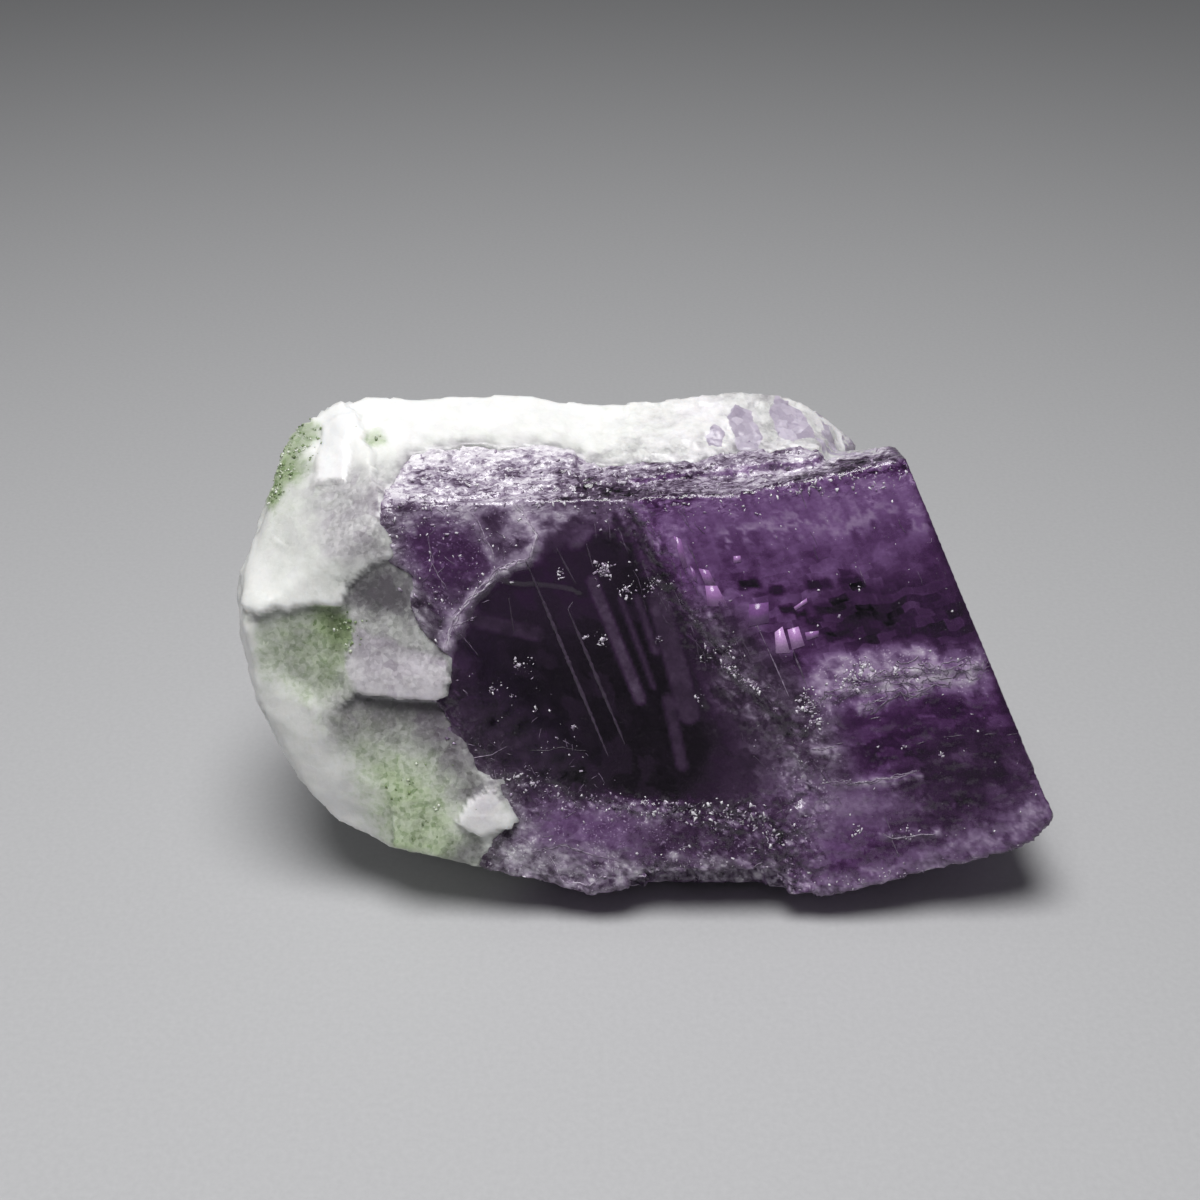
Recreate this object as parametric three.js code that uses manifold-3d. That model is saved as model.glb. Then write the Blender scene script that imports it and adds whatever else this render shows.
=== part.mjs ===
// A scapolite crystal in its matrix, broken out of the rock as one stone.
// Millimetres, +Z up. X runs along the stone, -Y is the side with the clean cleavage face, and the
// origin is under the middle of the stone, in the plane that it rests on.
import * as THREE from 'three';
import { ConvexGeometry } from 'three/addons/geometries/ConvexGeometry.js';
import { SimplexNoise } from 'three/addons/math/SimplexNoise.js';
import { TessellateModifier } from 'three/addons/modifiers/TessellateModifier.js';
import { mergeVertices } from 'three/addons/utils/BufferGeometryUtils.js';
import Module from 'manifold-3d';

const wasm = await Module();
wasm.setup();

// ---- driving dimensions ----
const SHOULDER = [ 16.75, - 2.75, 28.2 ]; // sharp top corner of the clean end
const LOWER_EDGE = - 13; // where the big cleavage face ends below, in front
const RISE_LEFT = - 4; // where that edge starts to rise towards the matrix end
const RISE_RIGHT = 13; // where it starts to rise towards the clean end
const KEEL = 2.5; // how far the foot that the stone rests on hangs below that edge
const FACE_LEAN = THREE.MathUtils.degToRad( 20 ); // the big cleavage face leans back this much
const WEATHERING = 0.34; // how far lumps stand out on the matrix
const LUMP_SIZE = 6; // how wide those lumps are
const EDGE = 3; // longest triangle edge on the finished surface

// ---- solids ----

function toSolid( geometry ) {

	const bare = geometry.clone();
	bare.deleteAttribute( 'normal' );
	bare.deleteAttribute( 'uv' );
	const merged = mergeVertices( bare, 1e-3 );
	return new wasm.Manifold( new wasm.Mesh( {
		numProp: 3,
		vertProperties: new Float32Array( merged.attributes.position.array ),
		triVerts: new Uint32Array( merged.index.array ),
	} ) );

}

function toGeometry( solid ) {

	const mesh = solid.getMesh();
	const geometry = new THREE.BufferGeometry();
	geometry.setAttribute( 'position', new THREE.BufferAttribute( mesh.vertProperties, 3 ) );
	geometry.setIndex( new THREE.BufferAttribute( mesh.triVerts, 1 ) );
	return geometry;

}

function hull( points ) {

	return toSolid( new ConvexGeometry( points.map( ( p ) => new THREE.Vector3( ...p ) ) ) );

}

// Takes off everything on the far side of a plane, as a cleavage break does.
function cleave( solid, through, facing ) {

	const reach = 80;
	const normal = new THREE.Vector3( ...facing ).normalize();
	const waste = new THREE.BoxGeometry( reach, reach, reach );
	waste.applyQuaternion( new THREE.Quaternion().setFromUnitVectors( new THREE.Vector3( 0, 0, 1 ), normal ) );
	const centre = new THREE.Vector3( ...through ).addScaledVector( normal, reach / 2 );
	waste.translate( centre.x, centre.y, centre.z );
	return solid.subtract( toSolid( waste ) );

}

// ---- the crystal: a lying prism with a leaning front face and a clean end ----

const LEANING = [ 0, - Math.cos( FACE_LEAN ), Math.sin( FACE_LEAN ) ];
const SIDES = [
	{ name: 'front', through: [ 0, LOWER_EDGE, 0 ], facing: LEANING },
	{ name: 'clean end', through: SHOULDER, facing: [ 0.914, 0.122, 0.387 ] },
	{ name: 'top, behind', through: [ 16, 1.8, 27 ], facing: [ - 0.06, 0.55, 0.84 ] },
	{ name: 'back', through: [ 0, 9.8, 8 ], facing: [ 0.08, 0.97, 0.2 ] },
	{ name: 'underside, front', through: [ 0, LOWER_EDGE, 0 ], facing: [ 0, - 0.42, - 0.9 ] },
	{ name: 'underside, right', through: [ RISE_RIGHT, LOWER_EDGE, 0 ], facing: [ 0.26, - 0.4, - 0.88 ] },
	{ name: 'underside, far right', through: [ 17, 0, - KEEL ], facing: [ 0.5, - 0.05, - 0.86 ] },
	{ name: 'underside, back', through: [ 0, 9, - KEEL ], facing: [ 0, 0.5, - 0.87 ] },
	{ name: 'underside, left', through: [ RISE_LEFT, LOWER_EDGE, 0 ], facing: [ - 0.26, - 0.42, - 0.88 ] },
	{ name: 'lower corner', through: [ 27.4, - 10.7, 4.4 ], facing: [ 0.8, - 0.5, - 0.45 ] },
	{ name: 'left, in the matrix', through: [ - 17, - 8, 14 ], facing: [ - 0.94, 0.34, - 0.1 ] },
];
// The top is two planes that meet in a shallow valley: one rises to the clean end, one lies level.
const RISING_TOP = { through: SHOULDER, facing: [ - 0.22, 0.3, 1 ] };
const LEVEL_TOP = [
	{ through: [ 6.5, - 3.6, 26 ], facing: [ - 0.03, 0.06, 1 ] },
	{ through: [ 10, 0, 0 ], facing: [ 1, 0, 0 ] },
];

function prism( faces ) {

	const block = new THREE.BoxGeometry( 54, 30, 40 );
	block.translate( 6, - 1, 13 );
	return faces.reduce( ( solid, face ) => cleave( solid, face.through, face.facing ), toSolid( block ) );

}

function crystal() {

	return prism( [ ...SIDES, RISING_TOP ] ).add( prism( [ ...SIDES, ...LEVEL_TOP ] ) );

}

// ---- the matrix: the pale mass over the top, the back and the left end ----

function matrixMass() {

	const crest = [ [ - 24, 4.5, 26.5 ], [ - 22, 5.5, 27.8 ], [ - 19.5, 6, 28.4 ], [ - 13, 6.5, 28.3 ],
		[ 6.6, 7, 28.5 ], [ 10.8, 7, 27.5 ], [ 13, 7, 26.4 ], [ 14.8, 7, 24.4 ] ];
	const brow = [ [ - 21.8, 0.8, 24.8 ], [ - 16.8, 0.4, 25.6 ], [ - 5, 0.4, 26.2 ], [ 4, 0.6, 26.5 ],
		[ 11.6, 1, 26.4 ] ];
	const back = [ [ - 20, 10.5, 24 ], [ - 4, 12.2, 23 ], [ 12, 10.5, 22 ], [ - 22, 10.5, 7 ], [ - 9, 13, 7 ],
		[ 9, 13, 7 ], [ 19, 11.5, 9 ], [ - 9, 10.6, - KEEL ], [ 10, 10.8, - KEEL ] ];
	const leftEnd = [ [ - 25, 1.5, 24.5 ], [ - 26.6, 0.5, 21.6 ], [ - 28, - 1, 18.6 ], [ - 28.4, - 1.5, 17.4 ],
		[ - 27.7, - 4.6, 15.6 ], [ - 26.8, - 6.6, 18 ], [ - 27.6, 4.5, 15.5 ], [ - 26.2, 6.5, 11 ],
		[ - 26.8, - 5.4, 10.8 ], [ - 26, - 8, 12 ] ];
	const leftFoot = [ [ - 24.6, - 7.5, 7.4 ], [ - 21.6, - 9.6, 3.7 ], [ - 17.6, - 10.8, 2.6 ],
		[ - 10.2, - 12.3, 1.8 ], [ - 5, - 12.6, 0.6 ], [ - 16, 8.5, - 1 ], [ - 12, - 2, - KEEL ] ];
	const front = [ [ - 16, - 3.9, 25.2 ], [ - 20, - 10, 8 ] ];
	return hull( [ ...crest, ...brow, ...back, ...leftEnd, ...leftFoot, ...front ] );

}

// A piece of the lower lip of the big face is broken away.
function lipBreak() {

	const outer = LOWER_EDGE - 1;
	const inner = LOWER_EDGE + 2.8;
	return hull( [ [ - 2.8, outer, - 4 ], [ 10.1, outer, - 4 ], [ 9.3, outer, 0.6 ], [ 8.7, outer, 1.6 ],
		[ 1, outer, 1.7 ], [ - 0.4, outer, 1 ],
		[ - 1.5, inner, - 4 ], [ 8.6, inner, - 4 ], [ 8, inner, 1 ], [ 1.5, inner, 1.1 ] ] );

}

function stoneSolid() {

	const grown = crystal().add( matrixMass() );
	return cleave( grown, [ 0, 0, - KEEL ], [ 0, 0, - 1 ] ).subtract( lipBreak() );

}

// ---- weathering: soft hollows and lumps over the broken stone ----

const HOLLOWS = [
	{ name: 'saddle in the crest', at: [ - 2, 7, 28.4 ], radius: 9, push: [ 0, 0, - 0.9 ] },
	{ name: 'hollow in the back', at: [ - 6, 13, 14 ], radius: 9, push: [ 0, - 1.6, 0 ] },
	{ name: 'hollow in the left end', at: [ - 27.5, 2, 11 ], radius: 6, push: [ 1, 0, 0.2 ] },
];

// 1 on the pale matrix and 0 on the clean faces of the crystal.
function matrixShare( p ) {

	const towardsLeft = THREE.MathUtils.smoothstep( - p.x, 14, 20 );
	const overTop = THREE.MathUtils.smoothstep( p.y + 0.35 * ( p.z - 26 ), 0.5, 3 );
	return Math.max( towardsLeft, overTop );

}

function weather( geometry ) {

	let seed = 7;
	const random = () => {

		seed = ( seed * 16807 ) % 2147483647;
		return seed / 2147483647;

	};
	const noise = new SimplexNoise( { random } );
	geometry.computeVertexNormals();
	const position = geometry.attributes.position;
	const normal = geometry.attributes.normal;
	const p = new THREE.Vector3();
	const n = new THREE.Vector3();
	for ( let i = 0; i < position.count; i ++ ) {

		p.fromBufferAttribute( position, i );
		n.fromBufferAttribute( normal, i );
		const offFoot = THREE.MathUtils.smoothstep( p.z, - KEEL, 0 );
		const lump = noise.noise3d( p.x / LUMP_SIZE, p.y / LUMP_SIZE, p.z / LUMP_SIZE );
		const start = p.clone();
		p.addScaledVector( n, WEATHERING * lump * offFoot * matrixShare( start ) );
		for ( const hollow of HOLLOWS ) {

			const distance = start.distanceTo( new THREE.Vector3( ...hollow.at ) );
			const share = 1 - THREE.MathUtils.smoothstep( distance, 0, hollow.radius );
			p.addScaledVector( new THREE.Vector3( ...hollow.push ), share * offFoot );

		}

		position.setXYZ( i, p.x, p.y, p.z );

	}

	geometry.deleteAttribute( 'normal' );
	return geometry;

}

// ---- the part ----

const facets = new TessellateModifier( EDGE, 12 ).modify( toGeometry( stoneSolid() ) );
const stone = new THREE.Mesh( weather( mergeVertices( facets, 1e-3 ) ), new THREE.MeshStandardMaterial( {
	color: 0x6a4d76, roughness: 0.35, metalness: 0,
} ) );
stone.name = 'scapolite_crystal';

// The origin lies under the middle of the stone.
const box = new THREE.Box3().setFromObject( stone );
const middle = box.getCenter( new THREE.Vector3() );
stone.position.set( - middle.x, - middle.y, - box.min.z );

const part = new THREE.Group();
part.add( stone );
export default part;
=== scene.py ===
"""The look of a rough scapolite crystal in its matrix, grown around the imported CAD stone."""

import itertools
import math

import bpy
import numpy as np
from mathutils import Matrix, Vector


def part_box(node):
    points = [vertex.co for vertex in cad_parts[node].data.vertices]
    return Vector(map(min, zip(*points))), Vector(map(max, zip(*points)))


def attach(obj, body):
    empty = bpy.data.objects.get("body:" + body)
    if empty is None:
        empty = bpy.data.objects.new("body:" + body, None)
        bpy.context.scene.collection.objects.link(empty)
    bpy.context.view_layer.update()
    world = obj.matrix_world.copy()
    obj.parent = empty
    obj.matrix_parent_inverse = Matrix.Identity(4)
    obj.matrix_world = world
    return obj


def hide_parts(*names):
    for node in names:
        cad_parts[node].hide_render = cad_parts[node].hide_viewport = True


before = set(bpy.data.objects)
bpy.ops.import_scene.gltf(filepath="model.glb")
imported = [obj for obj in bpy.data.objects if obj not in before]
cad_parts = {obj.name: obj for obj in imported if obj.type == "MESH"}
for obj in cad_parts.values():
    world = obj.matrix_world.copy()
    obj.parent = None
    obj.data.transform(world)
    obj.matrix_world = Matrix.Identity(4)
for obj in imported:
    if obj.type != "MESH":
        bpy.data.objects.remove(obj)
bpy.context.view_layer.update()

import openvdb
from mathutils import Vector
from mathutils.bvhtree import BVHTree

NODE = "scapolite_crystal"
LOW, HIGH = (np.array(corner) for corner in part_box(NODE))
MM = (HIGH - LOW)[0] / 56.0  # shapes are laid out in 56ths of the stone's width
FOOT = 0.0805 * (HIGH - LOW)[2] / MM  # the stone's foot hangs so far below the edge of the big face
LOW = LOW + [0, 0, FOOT * MM]  # everything is placed from the level of that edge
SPAN = HIGH - LOW
SIZE = SPAN / MM
LEAST, MOST = np.array([0, 0, -FOOT]) + 0.01, SIZE - 0.01  # the visible stone stays inside these
CRYSTAL_VOXEL, MATRIX_VOXEL = 0.226, 0.25  # grids that the two skins are drawn on, in millimetres
OVERLAP = 0.8  # how far the crystal runs on under the matrix

CRYSTAL_IOR, FLAKE_IOR, MATRIX_IOR = 1.56, 1.55, 1.54
LETS_THROUGH = (0.398, 0.0, 0.543, 1.0)  # tint of light through the crystal
ABSORPTION = 0.42  # per millimetre
CAMERA_HEIGHT = math.radians(31)
CAMERA_AWAY = 2.4  # widths of the stone
SOFTBOX_PLACE = np.array([-0.02, -0.045, 0.24])  # metres from the stone's middle
SOFTBOX_ACROSS = 0.16  # metres
SOFTBOX_WATTS, ROOM_LIGHT = 0.67, 0.09

FACE_LEAN = math.radians(20)  # how far the big cleavage face leans back
FRONT = np.array([0, -math.cos(FACE_LEAN), math.sin(FACE_LEAN)])
END = np.array([0.914, 0.122, 0.387])  # the way the clean end looks
STEEP = np.array([0.405, -0.312, -0.859])  # the steep growth lines on the big face
LEVEL = np.array([0.978, 0.071, 0.195])  # the other growth lines, nearly level
RIGHTWARD = np.array([1.0, 0, 0])
UPWARD = np.array([0, math.sin(FACE_LEAN), math.cos(FACE_LEAN)])  # up the slope of the big face
STEEP_HEADING = math.atan2(STEEP @ UPWARD, STEEP @ RIGHTWARD)
LEVEL_HEADING = math.atan2(LEVEL @ UPWARD, LEVEL @ RIGHTWARD)
ACROSS_STEEP = np.cross(STEEP, FRONT)
ACROSS_LEVEL = np.cross(FRONT, LEVEL)
ROW_SHIFT = 0.37  # share of a growth block by which each row stands off the one below

# ---------------------------------------------------------------- numbers over points


def place(u, w, h):
    """A point from shares of the stone's box above its foot: left to right, front to back, upwards."""
    return LOW + SPAN * np.array([u, w, h])


def step(value, low, high):
    """0 below low, 1 above high, smooth between."""
    t = np.clip((value - low) / (high - low), 0, 1)
    return t * t * (3 - 2 * t)


def hump(value, width):
    return np.exp(-np.square(value / width))


def toward(old, new, share):
    """The old value moved that share of the way to the new one."""
    return old + (new - old) * share


LATTICE = 64  # cells each way before the noise repeats
KEYS = 4096  # how many different random cells there are
TURN = np.linalg.qr(np.random.default_rng(1).normal(size=(3, 3)))[0].astype(np.float32)


def smooth_noise(points, seed):
    """Value noise in -1..1, with one feature per unit."""
    table = np.random.default_rng(seed).uniform(-1, 1, LATTICE ** 3).astype(np.float32)
    whole = np.floor(points)
    part = (points - whole).astype(np.float32).T
    part = part * part * part * (part * (part * 6 - 15) + 10)
    cell = whole.astype(np.int32).T & (LATTICE - 1)
    after = (cell + 1) & (LATTICE - 1)
    rows = [(x * LATTICE + y) * LATTICE for x in (cell[0], after[0]) for y in (cell[1], after[1])]
    ends = [table[row + cell[2]] for row in rows]
    ends = [toward(end, table[row + after[2]], part[2]) for end, row in zip(ends, rows)]
    left, right = toward(ends[0], ends[1], part[1]), toward(ends[2], ends[3], part[1])
    return toward(left, right, part[0])


def wave(points, size, octaves=3, seed=0, falloff=0.5):
    """Several layers of that noise, the first with features of that size."""
    total, share = 0.0, 1.0
    points = points.astype(np.float32) / size
    for layer in range(octaves):
        points = points @ TURN + 7.3
        total = total + share * smooth_noise(points, seed + layer)
        points, share = points * 2.1, share * falloff
    return total


def growth(points, across, down, inward=1.0):
    """Coordinates in growth blocks: so wide between steep lines, so high between level ones."""
    sizes = [(ACROSS_STEEP, across), (ACROSS_LEVEL, down), (FRONT, inward)]
    return np.stack([points @ way / size for way, size in sizes], 1)


def hashed(cells, table):
    """An even random whole number below KEYS for each cell."""
    key = table[cells[:, 0] & (KEYS - 1)]
    key = table[(key + cells[:, 1]) & (KEYS - 1)]
    return table[(key + cells[:, 2]) & (KEYS - 1)]


def cell_value(coords, seed):
    """An even random number in 0..1 for each unit cell."""
    table = np.random.default_rng(seed).permutation(KEYS)
    return hashed(np.floor(coords).astype(np.int64), table) / KEYS


def facets(points, size, seed, slope=0.0):
    """Uneven cells of that size: a number for each in 0..1, and a height that tilts each its own way."""
    coords = (points / size).astype(np.float32)
    whole = np.floor(coords).astype(np.int64)
    rng = np.random.default_rng(seed)
    table, loose = rng.permutation(KEYS), rng.uniform(0, 1, (KEYS, 7)).astype(np.float32)
    best = np.full(len(points), 9.0, np.float32)
    owner, middle = np.zeros(len(points), np.int64), np.zeros_like(coords)
    for shift in itertools.product((-1, 0, 1), repeat=3):
        cell = whole + shift
        key = hashed(cell, table)
        spot = cell + 0.1 + 0.8 * loose[key, :3]
        away = np.square(coords - spot).sum(1)
        nearer = away < best
        best, owner = np.where(nearer, away, best), np.where(nearer, key, owner)
        middle = np.where(nearer[:, None], spot, middle)
    tilt = np.einsum("ij,ij->i", coords - middle, 2 * loose[owner, 3:6] - 1) * slope * np.min(size)
    return loose[owner, 6], tilt


def crooked(points, size, amount, seed):
    """The points moved about by noise, so that outlines drawn on them come out jagged."""
    return points + amount * np.stack([wave(points, size, 2, seed + 10 * k) for k in range(3)], 1)


def outline(corners):
    """Corners in shares of the width and height, in millimetres."""
    return np.array(corners) * SIZE[[0, 2]]


def off_line(spots, corners):
    """Distance from each spot to a line through the corners."""
    line = outline(corners)
    best = np.full(len(spots), np.inf)
    for a, b in zip(line[:-1], line[1:]):
        along = b - a
        t = np.clip(((spots - a) @ along) / (along @ along), 0, 1)
        best = np.minimum(best, np.linalg.norm(spots - a - t[:, None] * along, axis=1))
    return best


def inside(spots, corners):
    """Signed distance to a closed outline: positive inside it."""
    ring = outline(corners)
    hit = np.zeros(len(spots), bool)
    for a, b in zip(ring, np.roll(ring, -1, 0)):
        crosses = (a[1] > spots[:, 1]) != (b[1] > spots[:, 1])
        rise = b[1] - a[1] if b[1] != a[1] else 1e-12
        hit ^= crosses & (spots[:, 0] < a[0] + (b[0] - a[0]) * (spots[:, 1] - a[1]) / rise)
    gap = off_line(spots, [*corners, corners[0]])
    return np.where(hit, gap, -gap)


# ---------------------------------------------------------------- places on the big face

# Corners are shares of the stone's width and height.
MATRIX_EDGE = [
    (0.29, 0.0), (0.3, 0.05), (0.31, 0.13), (0.335, 0.17), (0.32, 0.26), (0.295, 0.3), (0.27, 0.39),
    (0.257, 0.44), (0.262, 0.5), (0.262, 0.555), (0.245, 0.6), (0.228, 0.655), (0.213, 0.72),
    (0.198, 0.765), (0.195, 0.82), (0.18, 0.89), (0.16, 0.95), (0.13, 1.0),
]
UPPER_PLATE = [
    (-0.05, 0.67), (0.03, 0.655), (0.09, 0.67), (0.14, 0.675), (0.145, 0.71), (0.165, 0.745), (0.21, 0.785),
    (0.2, 0.86), (0.15, 0.98), (-0.05, 1.0),
]
MIDDLE_PLATE = [
    (0.155, 0.62), (0.205, 0.585), (0.262, 0.54), (0.262, 0.455), (0.207, 0.462), (0.16, 0.475),
    (0.145, 0.53),
]
SMALL_PLATE = [(0.288, 0.225), (0.318, 0.258), (0.345, 0.165), (0.3, 0.14), (0.275, 0.17)]
HOLLOW = [(0.03, 0.65), (0.148, 0.665), (0.15, 0.58), (0.142, 0.48), (0.11, 0.44), (0.06, 0.47)]
BROW = [(0.13, 0.43), (0.157, 0.47), (0.2, 0.455), (0.267, 0.45)]
WINDOW = [
    (0.274, 0.588), (0.3, 0.64), (0.328, 0.735), (0.366, 0.765), (0.384, 0.79), (0.423, 0.8), (0.452, 0.82),
    (0.49, 0.79), (0.493, 0.75), (0.523, 0.7), (0.553, 0.588), (0.566, 0.475), (0.59, 0.36), (0.579, 0.269),
    (0.555, 0.222), (0.495, 0.21), (0.446, 0.245), (0.398, 0.27), (0.35, 0.3), (0.302, 0.361),
    (0.285, 0.452), (0.262, 0.498),
]
LEFT_FLAKE = [
    (0.353, 0.93), (0.355, 0.885), (0.37, 0.81), (0.364, 0.765), (0.328, 0.733), (0.304, 0.677),
    (0.283, 0.633), (0.27, 0.56), (0.16, 0.56), (0.12, 0.95),
]
INNER_FLAKE = [(0.285, 0.93), (0.297, 0.855), (0.322, 0.765), (0.332, 0.725), (0.42, 0.7), (0.42, 0.95)]
RIGHT_PANEL = [
    (0.46, 0.97), (0.493, 0.81), (0.565, 0.633), (0.614, 0.498), (0.67, 0.38), (0.7, 0.24), (0.66, 0.1),
    (0.7, -0.1), (1.1, -0.1), (1.1, 1.1), (0.46, 1.1),
]
DIAGONAL = [
    (0.46, 0.95), (0.5, 0.81), (0.565, 0.633), (0.614, 0.498), (0.68, 0.36), (0.7, 0.2), (0.68, 0.05),
]
BELOW_VEIN = [(0.69, 0.42), (0.74, 0.46), (0.8, 0.5), (0.89, 0.52), (1.1, 0.57), (1.1, -0.1), (0.66, -0.1)]
POOL = [
    (0.205, 0.84), (0.225, 0.88), (0.27, 0.875), (0.3, 0.83), (0.32, 0.76), (0.3, 0.72), (0.23, 0.72),
    (0.21, 0.76),
]
MILK_HAZE = [
    (0.64, 0.24), (0.7, 0.27), (0.78, 0.24), (0.83, 0.2), (0.78, 0.17), (0.73, 0.14), (0.7, 0.08),
    (0.66, 0.04), (0.66, 0.12),
]
SMOKE = [(0.68, 0.42), (0.72, 0.45), (0.74, 0.38), (0.76, 0.26), (0.72, 0.2), (0.66, 0.2), (0.66, 0.33)]
GREY_CORNER = [(0.27, 0.48), (0.33, 0.45), (0.4, 0.34), (0.45, 0.26), (0.33, 0.24), (0.28, 0.34)]
RIDGE = [
    (0.347, 0.893), (0.372, 0.82), (0.364, 0.772), (0.328, 0.748), (0.316, 0.722), (0.286, 0.666),
    (0.268, 0.61), (0.262, 0.55),
]
INNER_RIDGE = [(0.297, 0.87), (0.305, 0.843), (0.322, 0.766)]
VEIN_HAZE = [
    (0.691, 0.5), (0.708, 0.554), (0.76, 0.56), (0.815, 0.585), (0.93, 0.58), (0.95, 0.52), (0.9, 0.475),
    (0.853, 0.475), (0.781, 0.452), (0.746, 0.44), (0.7, 0.42),
]
DULL = [
    (0.55, 0.68), (0.6, 0.66), (0.66, 0.555), (0.72, 0.45), (0.7, 0.36), (0.64, 0.28), (0.6, 0.36),
    (0.57, 0.5),
]
TRIANGLE = [
    (0.145, 0.66), (0.15, 0.72), (0.19, 0.76), (0.225, 0.72), (0.26, 0.62), (0.25, 0.56), (0.2, 0.6),
]
CORNER = [(0.83, 0.34), (0.9, 0.38), (1.1, 0.4), (1.1, 0.1), (0.9, 0.08), (0.8, 0.1), (0.78, 0.24)]
PALE_PATCHES = [(0.6, 0.82), (0.66, 0.85), (0.72, 0.845), (0.77, 0.87), (0.83, 0.855)]
VEINS = [
    [(0.7, 0.45), (0.72, 0.47), (0.745, 0.475)],
    [(0.74, 0.49), (0.779, 0.515), (0.83, 0.525), (0.887, 0.535), (0.95, 0.56), (1.0, 0.56)],
    [(0.75, 0.475), (0.8, 0.49), (0.86, 0.5), (0.92, 0.53)],
    [(0.76, 0.43), (0.8, 0.465), (0.84, 0.475)],
    [(0.728, 0.265), (0.757, 0.262), (0.8, 0.275), (0.831, 0.289)],
    [(0.79, 0.145), (0.8, 0.135), (0.852, 0.143)],
    [(0.7, 0.34), (0.73, 0.345)],
]
RIGHT_HAZE = [(0.9, 0.74), (0.905, 0.66), (0.915, 0.58), (0.96, 0.55), (0.99, 0.5)]
DARK_HEART = [(0.7, 0.7), (0.8, 0.76), (0.9, 0.72), (0.93, 0.62), (0.9, 0.57), (0.78, 0.56), (0.71, 0.62)]
BLOCKY = [(0.58, 0.74), (0.7, 0.78), (0.86, 0.72), (0.9, 0.6), (0.8, 0.56), (0.64, 0.5), (0.6, 0.6)]
# Darker blocks: middle, and half width and height in millimetres.
DARK_BLOCKS = [
    (0.704, 0.712, 0.8, 0.36), (0.722, 0.664, 1.2, 0.42), (0.667, 0.657, 0.45, 0.35),
    (0.684, 0.645, 0.4, 0.2), (0.668, 0.54, 0.9, 0.45), (0.621, 0.713, 0.7, 0.35), (0.742, 0.715, 0.7, 0.4),
    (0.7, 0.635, 0.5, 0.25), (0.76, 0.65, 0.8, 0.3), (0.655, 0.7, 0.5, 0.3), (0.73, 0.6, 0.9, 0.3),
]
# Paler bands in the dark window: both ends, half width in millimetres, milkiness.
WINDOW_BANDS = [
    ((0.437, 0.717), (0.494, 0.452), 0.42, 0.24), ((0.47, 0.68), (0.51, 0.48), 0.18, 0.2),
    ((0.515, 0.677), (0.553, 0.42), 0.75, 0.19), ((0.49, 0.68), (0.512, 0.56), 0.25, 0.2),
    ((0.528, 0.45), (0.545, 0.3), 0.4, 0.17), ((0.3, 0.63), (0.37, 0.6), 0.5, 0.14),
]
RIM = [(0.69, 0.02), (0.74, 0.01), (0.82, 0.04), (0.9, 0.11), (0.97, 0.18), (0.99, 0.22)]
DARK_SEAM = [(0.4, 0.915), (0.5, 0.9), (0.58, 0.93), (0.7, 0.95), (0.8, 0.97), (0.92, 0.99)]
LENS = [(0.38, 0.2), (0.46, 0.185), (0.56, 0.15), (0.56, 0.09), (0.46, 0.1), (0.38, 0.12)]
LOWER_DARK = [(0.48, 0.14), (0.55, 0.16), (0.64, 0.13), (0.66, 0.09), (0.6, 0.08), (0.5, 0.1)]
LIP = [
    (0.4, -0.05), (0.444, 0.0), (0.471, 0.012), (0.495, 0.035), (0.519, 0.06), (0.545, 0.052),
    (0.571, 0.05), (0.617, 0.053), (0.655, 0.056), (0.667, 0.015), (0.68, -0.02), (0.7, -0.05),
]
LOWER_SPECKLE = [
    (0.335, 0.27), (0.36, 0.265), (0.42, 0.225), (0.5, 0.2), (0.58, 0.19), (0.64, 0.18), (0.665, 0.12),
]
LOWER_RIGHT = [(0.66, 0.02), (0.66, 0.45), (0.98, 0.55), (0.99, 0.1), (0.85, 0.02)]
CONTACT = 0.54  # share of the depth at which the matrix starts behind the crystal
MATRIX_RIGHT = 0.775  # share of the width at which it ends on top

# Fine ridges along cracks: corners, width and stray in millimetres, brightness, how many together.
CRACKS = [
    (VEINS[0], 0.07, 0.6, 0.5, 3), (VEINS[1], 0.07, 0.6, 0.5, 3), (VEINS[2], 0.07, 0.6, 0.5, 3),
    (VEINS[3], 0.07, 0.6, 0.5, 3), (VEINS[4], 0.06, 0.2, 0.6, 4), (VEINS[5], 0.09, 0.1, 0.75, 2),
    (VEINS[6], 0.08, 0.12, 0.6, 2), (RIDGE, 0.12, 0.16, 0.8, 3), (INNER_RIDGE, 0.1, 0.12, 0.7, 2),
    ([(0.245, 0.82), (0.25, 0.76), (0.265, 0.7)], 0.07, 0.1, 0.6, 2), (RIGHT_HAZE, 0.07, 0.25, 0.6, 3),
    (RIDGE[:5], 0.12, 0.1, 0.9, 2), ([(0.36, 0.335), (0.4, 0.34), (0.43, 0.335)], 0.04, 0.08, 0.12, 1),
    ([(0.285, 0.315), (0.315, 0.325), (0.334, 0.345)], 0.07, 0.03, 0.75, 1),
    ([(0.675, 0.565), (0.693, 0.484)], 0.1, 0.02, 0.5, 1),
    ([(0.3, 0.55), (0.27, 0.62), (0.3, 0.64)], 0.07, 0.1, 0.5, 1),
    ([(0.36, 0.1), (0.4, 0.115), (0.44, 0.09), (0.47, 0.075)], 0.09, 0.12, 0.6, 2),
    ([(0.385, 0.09), (0.4, 0.03), (0.43, 0.02), (0.45, 0.045)], 0.1, 0.1, 0.8, 2),
]
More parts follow.
